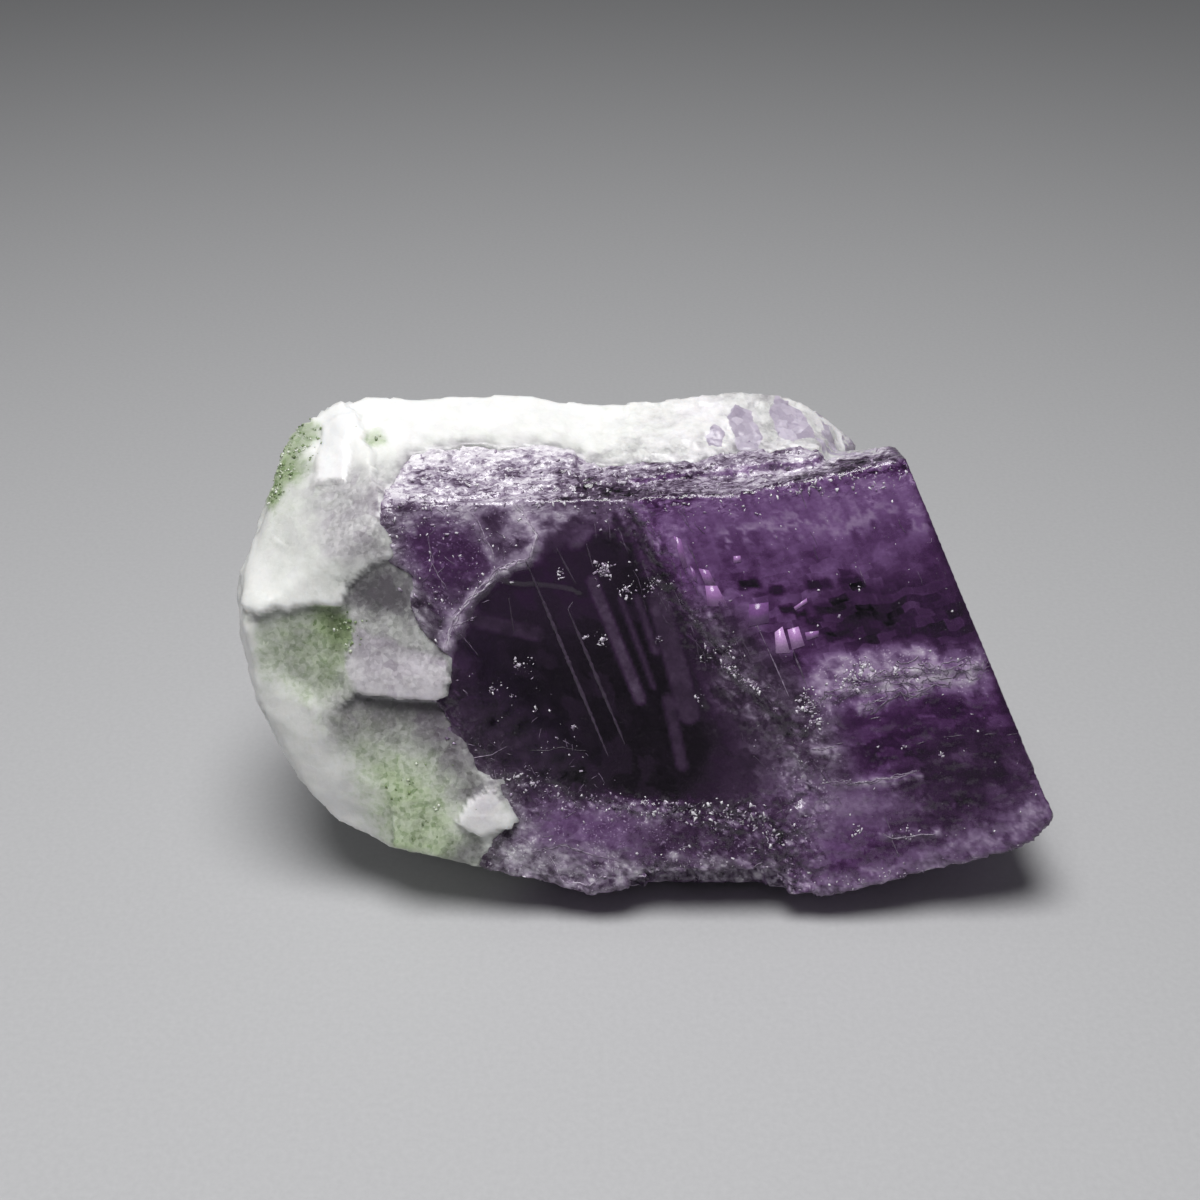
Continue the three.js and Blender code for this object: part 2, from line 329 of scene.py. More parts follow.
# Fields of short cracks: outline, how many, heading, scatter, length in millimetres, brightness.
CRACK_FIELDS = [
    ([(0.42, 0.96), (0.47, 0.7), (0.6, 0.42), (0.66, 0.2), (0.74, 0.2), (0.68, 0.45), (0.58, 0.7),
      (0.54, 0.96)], 60, STEEP_HEADING, 0.2, 1.4, 0.42),
    ([(0.2, 0.9), (0.34, 0.9), (0.36, 0.75), (0.28, 0.6), (0.26, 0.5), (0.18, 0.6), (0.16, 0.7)],
      26, 1.0, 1.0, 0.7, 0.6),
    ([(0.28, 0.26), (0.66, 0.2), (0.66, 0.0), (0.3, 0.0)], 30, LEVEL_HEADING, 0.4, 0.8, 0.6),
    (LOWER_RIGHT, 10, LEVEL_HEADING, 0.1, 1.3, 0.5),
    ([(0.53, 0.95), (0.6, 0.7), (0.94, 0.75), (0.9, 0.95)], 10, STEEP_HEADING, 0.03, 1.6, 0.45),
    ([(0.28, 0.5), (0.32, 0.5), (0.46, 0.28), (0.44, 0.24), (0.28, 0.28)], 26, -1.0, 0.7, 0.7, 0.5),
]
# Sparkling clusters: place, spread, how many, largest size in millimetres.
SPARKLE_CLUSTERS = [
    (0.451, 0.74, 0.32, 60, 0.32), (0.399, 0.737, 0.18, 14, 0.22), (0.478, 0.7, 0.3, 34, 0.22),
    (0.505, 0.705, 0.35, 30, 0.2), (0.529, 0.711, 0.12, 8, 0.18), (0.43, 0.592, 0.12, 12, 0.2),
    (0.449, 0.586, 0.22, 26, 0.22), (0.347, 0.527, 0.16, 14, 0.28), (0.362, 0.53, 0.25, 10, 0.16),
    (0.318, 0.475, 0.2, 14, 0.22), (0.34, 0.46, 0.1, 8, 0.2), (0.368, 0.427, 0.1, 8, 0.2),
    (0.414, 0.388, 0.1, 8, 0.2), (0.515, 0.585, 0.15, 10, 0.16), (0.565, 0.453, 0.2, 12, 0.2),
    (0.692, 0.434, 0.35, 60, 0.3), (0.704, 0.405, 0.35, 40, 0.26), (0.695, 0.465, 0.3, 30, 0.22),
    (0.762, 0.53, 0.3, 40, 0.3), (0.745, 0.5, 0.5, 70, 0.24), (0.8, 0.525, 0.15, 14, 0.3),
    (0.93, 0.545, 0.45, 40, 0.22), (0.958, 0.52, 0.3, 30, 0.2), (0.99, 0.46, 0.2, 12, 0.2),
    (0.755, 0.148, 0.2, 20, 0.22), (0.82, 0.146, 0.35, 18, 0.18), (0.855, 0.33, 0.1, 8, 0.22),
    (0.812, 0.345, 0.12, 10, 0.22), (0.6, 0.565, 0.25, 20, 0.18), (0.57, 0.555, 0.3, 20, 0.18),
]
# Sparkling lines: corners, gap, spread and largest size in millimetres.
SPARKLE_LINES = [
    (LOWER_SPECKLE[:4], 0.07, 0.45, 0.26), (LOWER_SPECKLE[3:], 0.04, 0.4, 0.34),
    ([(0.59, 0.535), (0.607, 0.515), (0.626, 0.486), (0.64, 0.47)], 0.03, 0.14, 0.26),
    ([(0.5, 0.07), (0.55, 0.085), (0.61, 0.075), (0.65, 0.05)], 0.08, 0.5, 0.26),
    ([(0.67, 0.02), (0.73, 0.03), (0.82, 0.05), (0.9, 0.09)], 0.1, 0.25, 0.18),
    ([(0.19, 0.87), (0.27, 0.91), (0.42, 0.91), (0.48, 0.9), (0.6, 0.925), (0.74, 0.955), (0.88, 0.98)],
      0.05, 0.8, 0.28),
    (VEINS[1], 0.1, 0.45, 0.22), (VEINS[0], 0.07, 0.35, 0.24), (RIGHT_HAZE, 0.1, 0.2, 0.2),
]
# Sparkling fields: outline, how many, largest size in millimetres.
SPARKLE_FIELDS = [
    ([(0.27, 0.5), (0.36, 0.55), (0.42, 0.4), (0.44, 0.26), (0.28, 0.28)], 60, 0.2),
    ([(0.44, 0.92), (0.47, 0.75), (0.6, 0.42), (0.66, 0.2), (0.74, 0.2), (0.68, 0.45), (0.55, 0.75)],
      50, 0.18),
    ([(0.28, 0.26), (0.66, 0.22), (0.66, 0.0), (0.3, 0.0)], 110, 0.2),
    ([(0.16, 0.9), (0.34, 0.9), (0.36, 0.75), (0.28, 0.6), (0.26, 0.5), (0.18, 0.6)], 240, 0.26),
    (LOWER_RIGHT, 120, 0.16),
    ([(0.5, 0.95), (0.66, 0.5), (0.94, 0.58), (0.9, 0.95)], 140, 0.15),
    ([(0.19, 1.0), (0.19, 0.87), (0.9, 0.93), (0.9, 1.0)], 400, 0.26),
]
# Plates of cleavage let into the face, with painted reflections that make them bright: four corners, and
# brightness.
PLATES = [
    ([(0.622, 0.668), (0.645, 0.673), (0.646, 0.628), (0.622, 0.619)], 0.5),
    ([(0.628, 0.645), (0.64, 0.648), (0.641, 0.63), (0.628, 0.625)], 0.95),
    ([(0.653, 0.606), (0.662, 0.619), (0.672, 0.561), (0.655, 0.559)], 0.85),
    ([(0.668, 0.612), (0.681, 0.619), (0.689, 0.577), (0.674, 0.567)], 0.8),
    ([(0.689, 0.606), (0.705, 0.61), (0.705, 0.597), (0.691, 0.588)], 0.6),
    ([(0.675, 0.662), (0.69, 0.682), (0.691, 0.673), (0.677, 0.655)], 0.75),
    ([(0.603, 0.775), (0.611, 0.776), (0.612, 0.763), (0.603, 0.76)], 0.7),
    ([(0.562, 0.748), (0.574, 0.744), (0.583, 0.711), (0.57, 0.711)], 0.6),
    ([(0.57, 0.71), (0.584, 0.71), (0.597, 0.664), (0.573, 0.664)], 0.68),
    ([(0.552, 0.753), (0.557, 0.744), (0.561, 0.715), (0.556, 0.722)], 0.55),
    ([(0.532, 0.82), (0.541, 0.812), (0.549, 0.752), (0.544, 0.745)], 0.6),
]
# Growth lines in the window: both ends, width in millimetres, brightness.
GROWTH_LINES = [
    ((0.359, 0.762), (0.456, 0.322), 0.26, 0.17), ((0.408, 0.655), (0.476, 0.349), 0.24, 0.15),
    ((0.395, 0.79), (0.418, 0.71), 0.16, 0.17), ((0.43, 0.8), (0.438, 0.745), 0.12, 0.2),
    ((0.338, 0.68), (0.344, 0.6), 0.12, 0.12), ((0.414, 0.672), (0.408, 0.655), 0.12, 0.3),
    ((0.645, 0.57), (0.672, 0.46), 0.09, 0.55), ((0.62, 0.67), (0.645, 0.57), 0.06, 0.4),
    ((0.8, 0.13), (0.81, 0.09), 0.07, 0.4), ((0.79, 0.19), (0.8, 0.145), 0.06, 0.4),
]

# Tones in the matrix: share of width, depth and height, radius in millimetres, how clear, green and lilac.
MATRIX_TONES = [
    (0.1, 0.22, 0.45, 7.0, 0.16, 0.05, 0.0), (0.14, 0.116, 0.2, 4.0, 0.03, 0.0, 0.0),
    (0.046, 0.224, 0.54, 1.4, 0.24, 0.15, 0.0), (0.06, 0.21, 0.45, 2.0, 0.06, 0.0, 0.0),
    (0.12, 0.13, 0.28, 2.6, 0.1, 0.0, 0.0), (0.11, 0.16, 0.38, 2.4, 0.08, 0.05, 0.0),
    (0.21, 0.05, 0.13, 1.6, 0.35, 0.5, 0.0), (0.255, 0.04, 0.11, 1.3, 0.6, 0.5, 0.0),
    (0.285, 0.05, 0.12, 1.0, 0.8, 0.1, 0.1), (0.17, 0.08, 0.14, 1.4, 0.1, 0.0, 0.0),
    (0.075, 0.44, 0.83, 2.4, 0.3, 0.16, 0.0), (0.057, 0.38, 0.767, 1.8, 0.3, 0.05, 0.0),
    (0.112, 0.36, 0.81, 2.6, 0.34, 0.05, 0.05), (0.153, 0.303, 0.82, 1.8, 0.4, 0.0, 0.35),
    (0.11, 0.43, 0.865, 1.7, 0.4, 0.1, 0.05), (0.082, 0.536, 0.891, 1.6, 0.45, 0.45, 0.0),
    (0.085, 0.64, 0.94, 1.5, 0.5, 0.55, 0.0), (0.069, 0.6, 0.92, 1.5, 0.52, 0.65, 0.0),
    (0.058, 0.55, 0.88, 1.5, 0.55, 0.75, 0.0), (0.05, 0.505, 0.845, 1.3, 0.55, 0.75, 0.0),
    (0.172, 0.585, 0.955, 1.1, 0.35, 0.55, 0.0), (0.138, 0.375, 0.855, 1.7, 0.36, 0.0, 0.35),
    (0.185, 0.36, 0.885, 1.9, 0.55, 0.0, 0.55), (0.163, 0.44, 0.915, 1.2, 0.32, 0.05, 0.1),
    (0.2, 0.97, 0.5, 3.4, 0.5, 0.55, 0.0), (0.47, 1.0, 0.3, 2.4, 0.5, 0.5, 0.0),
    (0.55, 0.9, 0.62, 1.8, 0.5, 0.4, 0.1), (0.03, 0.75, 0.45, 2.6, 0.4, 0.45, 0.0),
]
# Tones on its front: outline, softness in millimetres, then how clear, green, lilac and grainy.
FRONT_TONES = [
    ([(0.038, 0.645), (0.091, 0.668), (0.148, 0.682), (0.153, 0.588), (0.14, 0.525), (0.15, 0.475),
      (0.114, 0.47), (0.075, 0.46), (0.045, 0.49), (0.034, 0.565)], 1.6, 0.42, 0.42, 0.0, 0.5),
    ([(0.09, 0.62), (0.15, 0.64), (0.15, 0.53), (0.11, 0.5), (0.08, 0.55)], 1.4, 0.54, 0.52, 0.0, 0.6),
    ([(0.11, 0.7), (0.15, 0.7), (0.153, 0.599), (0.131, 0.565), (0.116, 0.61)], 0.8, 0.74, 1.0, 0.05, 0.9),
    ([(0.135, 0.72), (0.193, 0.78), (0.225, 0.74), (0.24, 0.655), (0.26, 0.599), (0.29, 0.554),
      (0.27, 0.44), (0.207, 0.43), (0.177, 0.475), (0.155, 0.502), (0.157, 0.554), (0.15, 0.62)],
      0.9, 0.5, 0.1, 0.22, 0.9),
    ([(0.14, 0.72), (0.193, 0.78), (0.225, 0.74), (0.235, 0.64), (0.19, 0.65), (0.155, 0.67)],
      0.8, 1.0, 0.05, 0.15, 1.0),
    ([(0.136, 0.486), (0.155, 0.47), (0.207, 0.455), (0.28, 0.448), (0.31, 0.361), (0.29, 0.25),
      (0.235, 0.335), (0.2, 0.362), (0.17, 0.35), (0.134, 0.36), (0.112, 0.418)], 1.8, 0.74, 0.3, 0.3, 0.9),
    ([(0.215, 0.44), (0.3, 0.45), (0.34, 0.3), (0.31, 0.19), (0.275, 0.23), (0.25, 0.31)],
      1.2, 0.93, 0.15, 0.4, 0.9),
    ([(0.155, 0.345), (0.206, 0.35), (0.242, 0.31), (0.275, 0.245), (0.275, 0.14), (0.245, 0.05),
      (0.19, 0.08), (0.168, 0.2), (0.155, 0.27)], 2.6, 0.36, 0.62, 0.0, 0.9),
    ([(0.265, 0.12), (0.29, 0.14), (0.31, 0.1), (0.3, 0.02), (0.26, 0.04)], 0.8, 0.8, 0.25, 0.1, 0.6),
    ([(0.11, 0.88), (0.133, 0.93), (0.176, 0.92), (0.2, 0.86), (0.2, 0.77), (0.16, 0.765), (0.12, 0.8)],
      1.6, 0.5, 0.08, 0.4, 1.0),
]
# Places on top: shares of width and depth.
WHITE_SLAB = [(0.112, 0.66), (0.15, 0.655), (0.143, 0.46), (0.106, 0.475)]
LILAC_PATCHES = [
    [(0.603, 0.66), (0.612, 0.72), (0.636, 0.7), (0.643, 0.6), (0.633, 0.555), (0.612, 0.56)],
    [(0.655, 0.7), (0.668, 0.77), (0.7, 0.73), (0.712, 0.61), (0.68, 0.585), (0.66, 0.62)],
    [(0.575, 0.6), (0.585, 0.64), (0.598, 0.62), (0.597, 0.56), (0.58, 0.55)],
]
# Grains of green: share of width, depth and height, spread in millimetres, and how many.
GREEN = [
    (0.085, 0.64, 0.94, 1.0, 40), (0.069, 0.6, 0.92, 1.0, 60), (0.058, 0.55, 0.88, 1.0, 60),
    (0.05, 0.505, 0.845, 0.9, 40), (0.172, 0.585, 0.955, 0.3, 6), (0.135, 0.24, 0.63, 0.9, 30),
    (0.152, 0.23, 0.58, 0.7, 16), (0.215, 0.1, 0.27, 2.0, 16), (0.24, 0.07, 0.17, 1.8, 16),
    (0.2, 0.97, 0.5, 2.4, 60), (0.47, 1.0, 0.3, 1.8, 40),
]


def front_depth(z):
    """How far back the big face lies at this height."""
    return 0.08 + math.tan(FACE_LEAN) * z


def matrix_left(z):
    """Where the crystal meets the matrix on the big face, at this height."""
    edge = np.array(MATRIX_EDGE)
    return np.interp(z / SIZE[2], edge[:, 1], edge[:, 0]) * SIZE[0]


def matrix_gap(points, rough=False):
    """About how far each point is from the matrix: negative inside it."""
    bent, contact = points, CONTACT * SIZE[1]
    if not rough:
        bent = points + 0.5 * np.stack([wave(points, 2.0, 1, 400 + k) for k in range(3)], 1)
        contact = contact + 1.0 * wave(bent * [1, 0, 1], 5.0, 2, 410)
    x, y, z = bent.T
    left = matrix_left(z)
    contact = np.minimum(contact, front_depth(z) - 0.3 + 1.35 * (x - left))
    right = (MATRIX_RIGHT + 0.07 * step(1 - z / SIZE[2], 0.1, 0.6)) * SIZE[0]
    gap = np.minimum(np.maximum(contact - y, x - right), 0.9 * (x - left))
    return gap if rough else gap + 0.12 * wave(points, 0.7, 2, 420)


# ---------------------------------------------------------------- solids from distances


class Block:
    """Signed distances to the CAD stone on an even grid, in millimetres: negative inside."""

    MARGIN = 5  # cells around the stone
    BAND = 7  # cells either side of the surface that hold distances
    OUTSIDE, NEARBY = 0.8, 2.4

    def __init__(self, voxel, side, overlap):
        self.voxel, self.side, self.overlap = voxel, side, overlap
        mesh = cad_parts[NODE].data
        mesh.calc_loop_triangles()
        points = np.empty(len(mesh.vertices) * 3, np.float32)
        mesh.vertices.foreach_get("co", points)
        points = (points.reshape(-1, 3) - LOW) / MM
        corners = np.empty(len(mesh.loop_triangles) * 3, np.int32)
        mesh.loop_triangles.foreach_get("vertices", corners)
        level = openvdb.FloatGrid.createLevelSetFromPolygons(
            points.astype(np.float32), triangles=corners.reshape(-1, 3).astype(np.uint32),
            transform=openvdb.createLinearTransform(voxel), halfWidth=self.BAND)
        first = -self.MARGIN - np.array([0, 0, math.ceil(FOOT / voxel)])
        shape = np.ceil(SIZE / voxel).astype(int) + self.MARGIN - first
        self.distance = np.full(shape, self.BAND * voxel, np.float32)
        level.copyToArray(self.distance, ijk=tuple(int(k) for k in first))
        self.corner = first * voxel

    def solid(self, name, cut=None):
        """One side of the contact, less the cut, as one closed mesh. The contact is exact only nearby."""
        field = self.distance.copy()
        inner = np.nonzero(field < self.OUTSIDE)
        points = np.stack(inner, 1).astype(np.float32) * self.voxel + self.corner
        gap = self.side * matrix_gap(points, rough=True)
        close = np.abs(gap) < self.NEARBY
        gap[close] = self.side * matrix_gap(points[close])
        field[inner] = np.maximum(field[inner], gap - self.overlap)
        if cut is not None:
            field[inner] = np.maximum(field[inner], cut(points))
        far = 3 * self.voxel
        grid = openvdb.FloatGrid(far)
        grid.copyFromArray(np.clip(field, -far, far), ijk=(0, 0, 0))
        vertices, quads = grid.convertToQuads()
        vertices, quads = biggest_shell(vertices * self.voxel + self.corner, quads)
        return make_piece(name, vertices, quads)


def carve(piece, relief):
    """Moves the surface out or in by the relief, and keeps it inside the stone's box."""
    points, normals = read(piece.data, "co"), read(piece.data, "normal")
    points = points + normals * relief(points, normals)[:, None]
    points = np.clip(points, LEAST, MOST)
    piece.data.vertices.foreach_set("co", (points * MM + LOW).astype(np.float32).ravel())
    piece.data.update()


def biggest_shell(vertices, faces):
    """Drops crumbs: only the largest connected shell stays."""
    label = np.arange(len(vertices))
    while True:
        fresh = label.copy()
        lowest = label[faces].min(axis=1)
        for k in range(faces.shape[1]):
            order = np.argsort(-lowest, kind="stable")
            fresh[faces[order, k]] = np.minimum(fresh[faces[order, k]], lowest[order])
        for _ in range(4):
            fresh = fresh[fresh]
        if np.array_equal(fresh, label):
            break
        label = fresh
    names, counts = np.unique(label, return_counts=True)
    keep = label == names[counts.argmax()]
    index = np.cumsum(keep) - 1
    return vertices[keep], index[faces[keep[faces[:, 0]]]]


def make_piece(name, vertices, faces):
    """A piece from points in millimetres and faces of one length."""
    mesh = bpy.data.meshes.new(name)
    sides = faces.shape[1]
    mesh.vertices.add(len(vertices))
    mesh.vertices.foreach_set("co", (vertices * MM + LOW).astype(np.float32).ravel())
    mesh.loops.add(faces.size)
    mesh.loops.foreach_set("vertex_index", faces.astype(np.int32).ravel())
    mesh.polygons.add(len(faces))
    mesh.polygons.foreach_set("loop_start", np.arange(0, faces.size, sides, dtype=np.int32))
    mesh.update(calc_edges=True)
    mesh.validate()
    piece = bpy.data.objects.new(name, mesh)
    bpy.context.scene.collection.objects.link(piece)
    return piece


def read(mesh, what):
    """The vertices' places in millimetres, or their normals."""
    values = np.empty(len(mesh.vertices) * 3)
    mesh.vertices.foreach_get(what, values)
    values = values.reshape(-1, 3)
    return (values - LOW) / MM if what == "co" else values


def store(mesh, **layers):
    for name, values in layers.items():
        layer = mesh.attributes.new(name, "FLOAT", "POINT")
        layer.data.foreach_set("value", np.clip(values, 0, 1).astype(np.float32))


# ---------------------------------------------------------------- the crystal


def undercut(points):
    """The broken lip under the big face: positive where stone is missing."""
    x, y, z = points.T
    edge = np.array(LIP)
    height = np.interp(x / SIZE[0], edge[:, 0], edge[:, 1]) * SIZE[2] + 0.25 * wave(points, 1.2, 2, 40)
    return np.minimum(height - z, 2.4 + 0.2 * z - (y - front_depth(z)))


def zones(points, normals):
    """Named shares and distances over the crystal's surface."""
    bent = crooked(points, 2.2, 0.35, 1)
    jagged = crooked(bent, 0.7, 0.16, 5)
    spots, rough = bent[:, [0, 2]], jagged[:, [0, 2]]
    u, _, h = (bent / SIZE).T
    ends = points @ END
    z = {
        "u": u, "h": h, "spots": spots, "rough": rough,
        "facing": step(normals @ FRONT, 0.5, 0.8),
        "end": 1 - step(ends.max() - ends, 0.35, 0.9),
        "top": step(normals[:, 2], 0.6, 0.85),
        "under": step(-normals[:, 2], 0.3, 0.6),
        "edge": matrix_gap(points),
        "left_flake": inside(rough, LEFT_FLAKE),
        "inner_flake": inside(rough, INNER_FLAKE),
        "panel": inside(rough, RIGHT_PANEL),
        "below": inside(rough, BELOW_VEIN),
        "window": inside(rough, WINDOW),
        "diagonal": off_line(spots, DIAGONAL),
        "speckle_row": off_line(spots, LOWER_SPECKLE),
        "veins": np.minimum.reduce([off_line(rough, line) for line in VEINS]),
        "vein_soft": np.minimum.reduce([off_line(spots, line) for line in VEINS[:2]]),
    }
    patchy = 0.5 + 0.5 * wave(points, 1.8, 2, 30)
    broken = 0.05 + 0.60 * hump(z["diagonal"], 1.5)
    broken += 0.45 * (1 - step(h, 0.18, 0.28)) * (1 - step(u, 0.66, 0.7))
    broken += 0.30 * step(z["left_flake"], -0.2, 0.6) * patchy + 0.35 * (1 - step(z["edge"], 0.5, 3.0))
    broken += 0.5 * hump(z["speckle_row"], 0.7) + 0.6 * step(h, 0.88, 0.93) * (1 - step(u, 0.62, 0.8))
    broken += 0.22 * step(z["below"], 0, 0.5) * patchy + 0.3 * hump(z["vein_soft"], 0.8)
    broken += 0.2 * (1 - step(h, 0.04, 0.10)) + 0.2 * step(u, 0.95, 0.98) * (1 - step(h, 0.25, 0.35))
    broken *= 1 - 0.6 * step(inside(spots, LENS), -0.6, 0.6)
    broken *= 1 - 0.92 * step(z["window"], 0, 1.0)
    broken = z["facing"] * broken + (1 - z["facing"]) * 0.6
    z["broken"] = np.clip(broken * (1 - 0.95 * z["end"] * step(h, 0.25, 0.4)), 0, 1)
    return z


def crystal_relief(points, normals):
    """How far out each point moves: edges of the flakes and panels, then blocks, breaks and chips."""
    z = zones(points, normals)
    broken, facing = z["broken"], z["facing"]
    sharp = 0.12
    relief = 0.30 * step(z["left_flake"], -sharp, sharp) + 0.10 * step(z["inner_flake"], -sharp, sharp)
    relief += 0.30 * step(z["panel"], -sharp, sharp) - 0.14 * step(z["below"], -sharp, sharp)
    relief -= 0.1 * step(z["window"], -0.4, 0.4)
    relief += 0.10 * hump(z["veins"], 0.22)
    relief *= facing * (1 - z["end"])
    relief += 0.02 * wave(points, 3.0, 3, 50)

    block = growth(crooked(points, 1.5, 0.12, 60), 0.95, 0.62, 1.2)
    block[:, 0] += ROW_SHIFT * np.floor(block[:, 1])
    heights = cell_value(block, 61) - 0.5
    along = growth(crooked(points, 1.2, 0.25, 66), 1, 1)
    _, large = facets(along, np.array([1.5, 2.6, 1.5]), 67, 0.15)
    _, small = facets(crooked(points, 0.8, 0.15, 68), 0.75, 69, 0.22)
    steps = np.floor(wave(points, 2.6, 3, 70) * 5) / 5
    on_panel = step(z["panel"], -1.0, 0.0) * facing * (1 - z["end"])
    relief += (0.010 + 0.04 * step(z["below"], 0, 1)) * heights * on_panel
    relief += broken * (0.10 * steps + 1.2 * large + small)
    flaky = crooked(points, 0.9, 0.3, 90)
    layer, lean = facets(flaky, np.array([1.0, 0.7, 0.4]), 91, 0.3)
    relief += z["top"] * (1 - z["end"]) * (0.07 * (layer - 0.5) + 0.5 * lean + 0.08 * steps)
    knob = step(np.abs(z["u"] - 0.388), 0.034, 0.026) * step(points[:, 1] / SIZE[1], 0.48, 0.50)
    relief += 0.35 * z["top"] * knob
    chipped = (1 - step(z["h"], 0.02, 0.10)) * (1 - z["under"]) * step(z["h"], -0.06, -0.02)
    relief -= 0.45 * step(wave(points, 2.2, 3, 95), 0.05, 0.4) * chipped
    buried = step(-z["edge"], -0.1, 0.5)
    return relief * (1 - buried) - (0.16 + 0.2 * z["top"]) * buried


def in_block(points, u, h, across, down):
    """1 in a block that lies along the growth of the big face, 0 outside it."""
    x, z = SIZE[0] * u, SIZE[2] * h
    a, b, _ = np.abs(growth(points - [x, front_depth(z), z], across, down)).T
    return step(np.maximum(a, b), 1.25, 0.75)


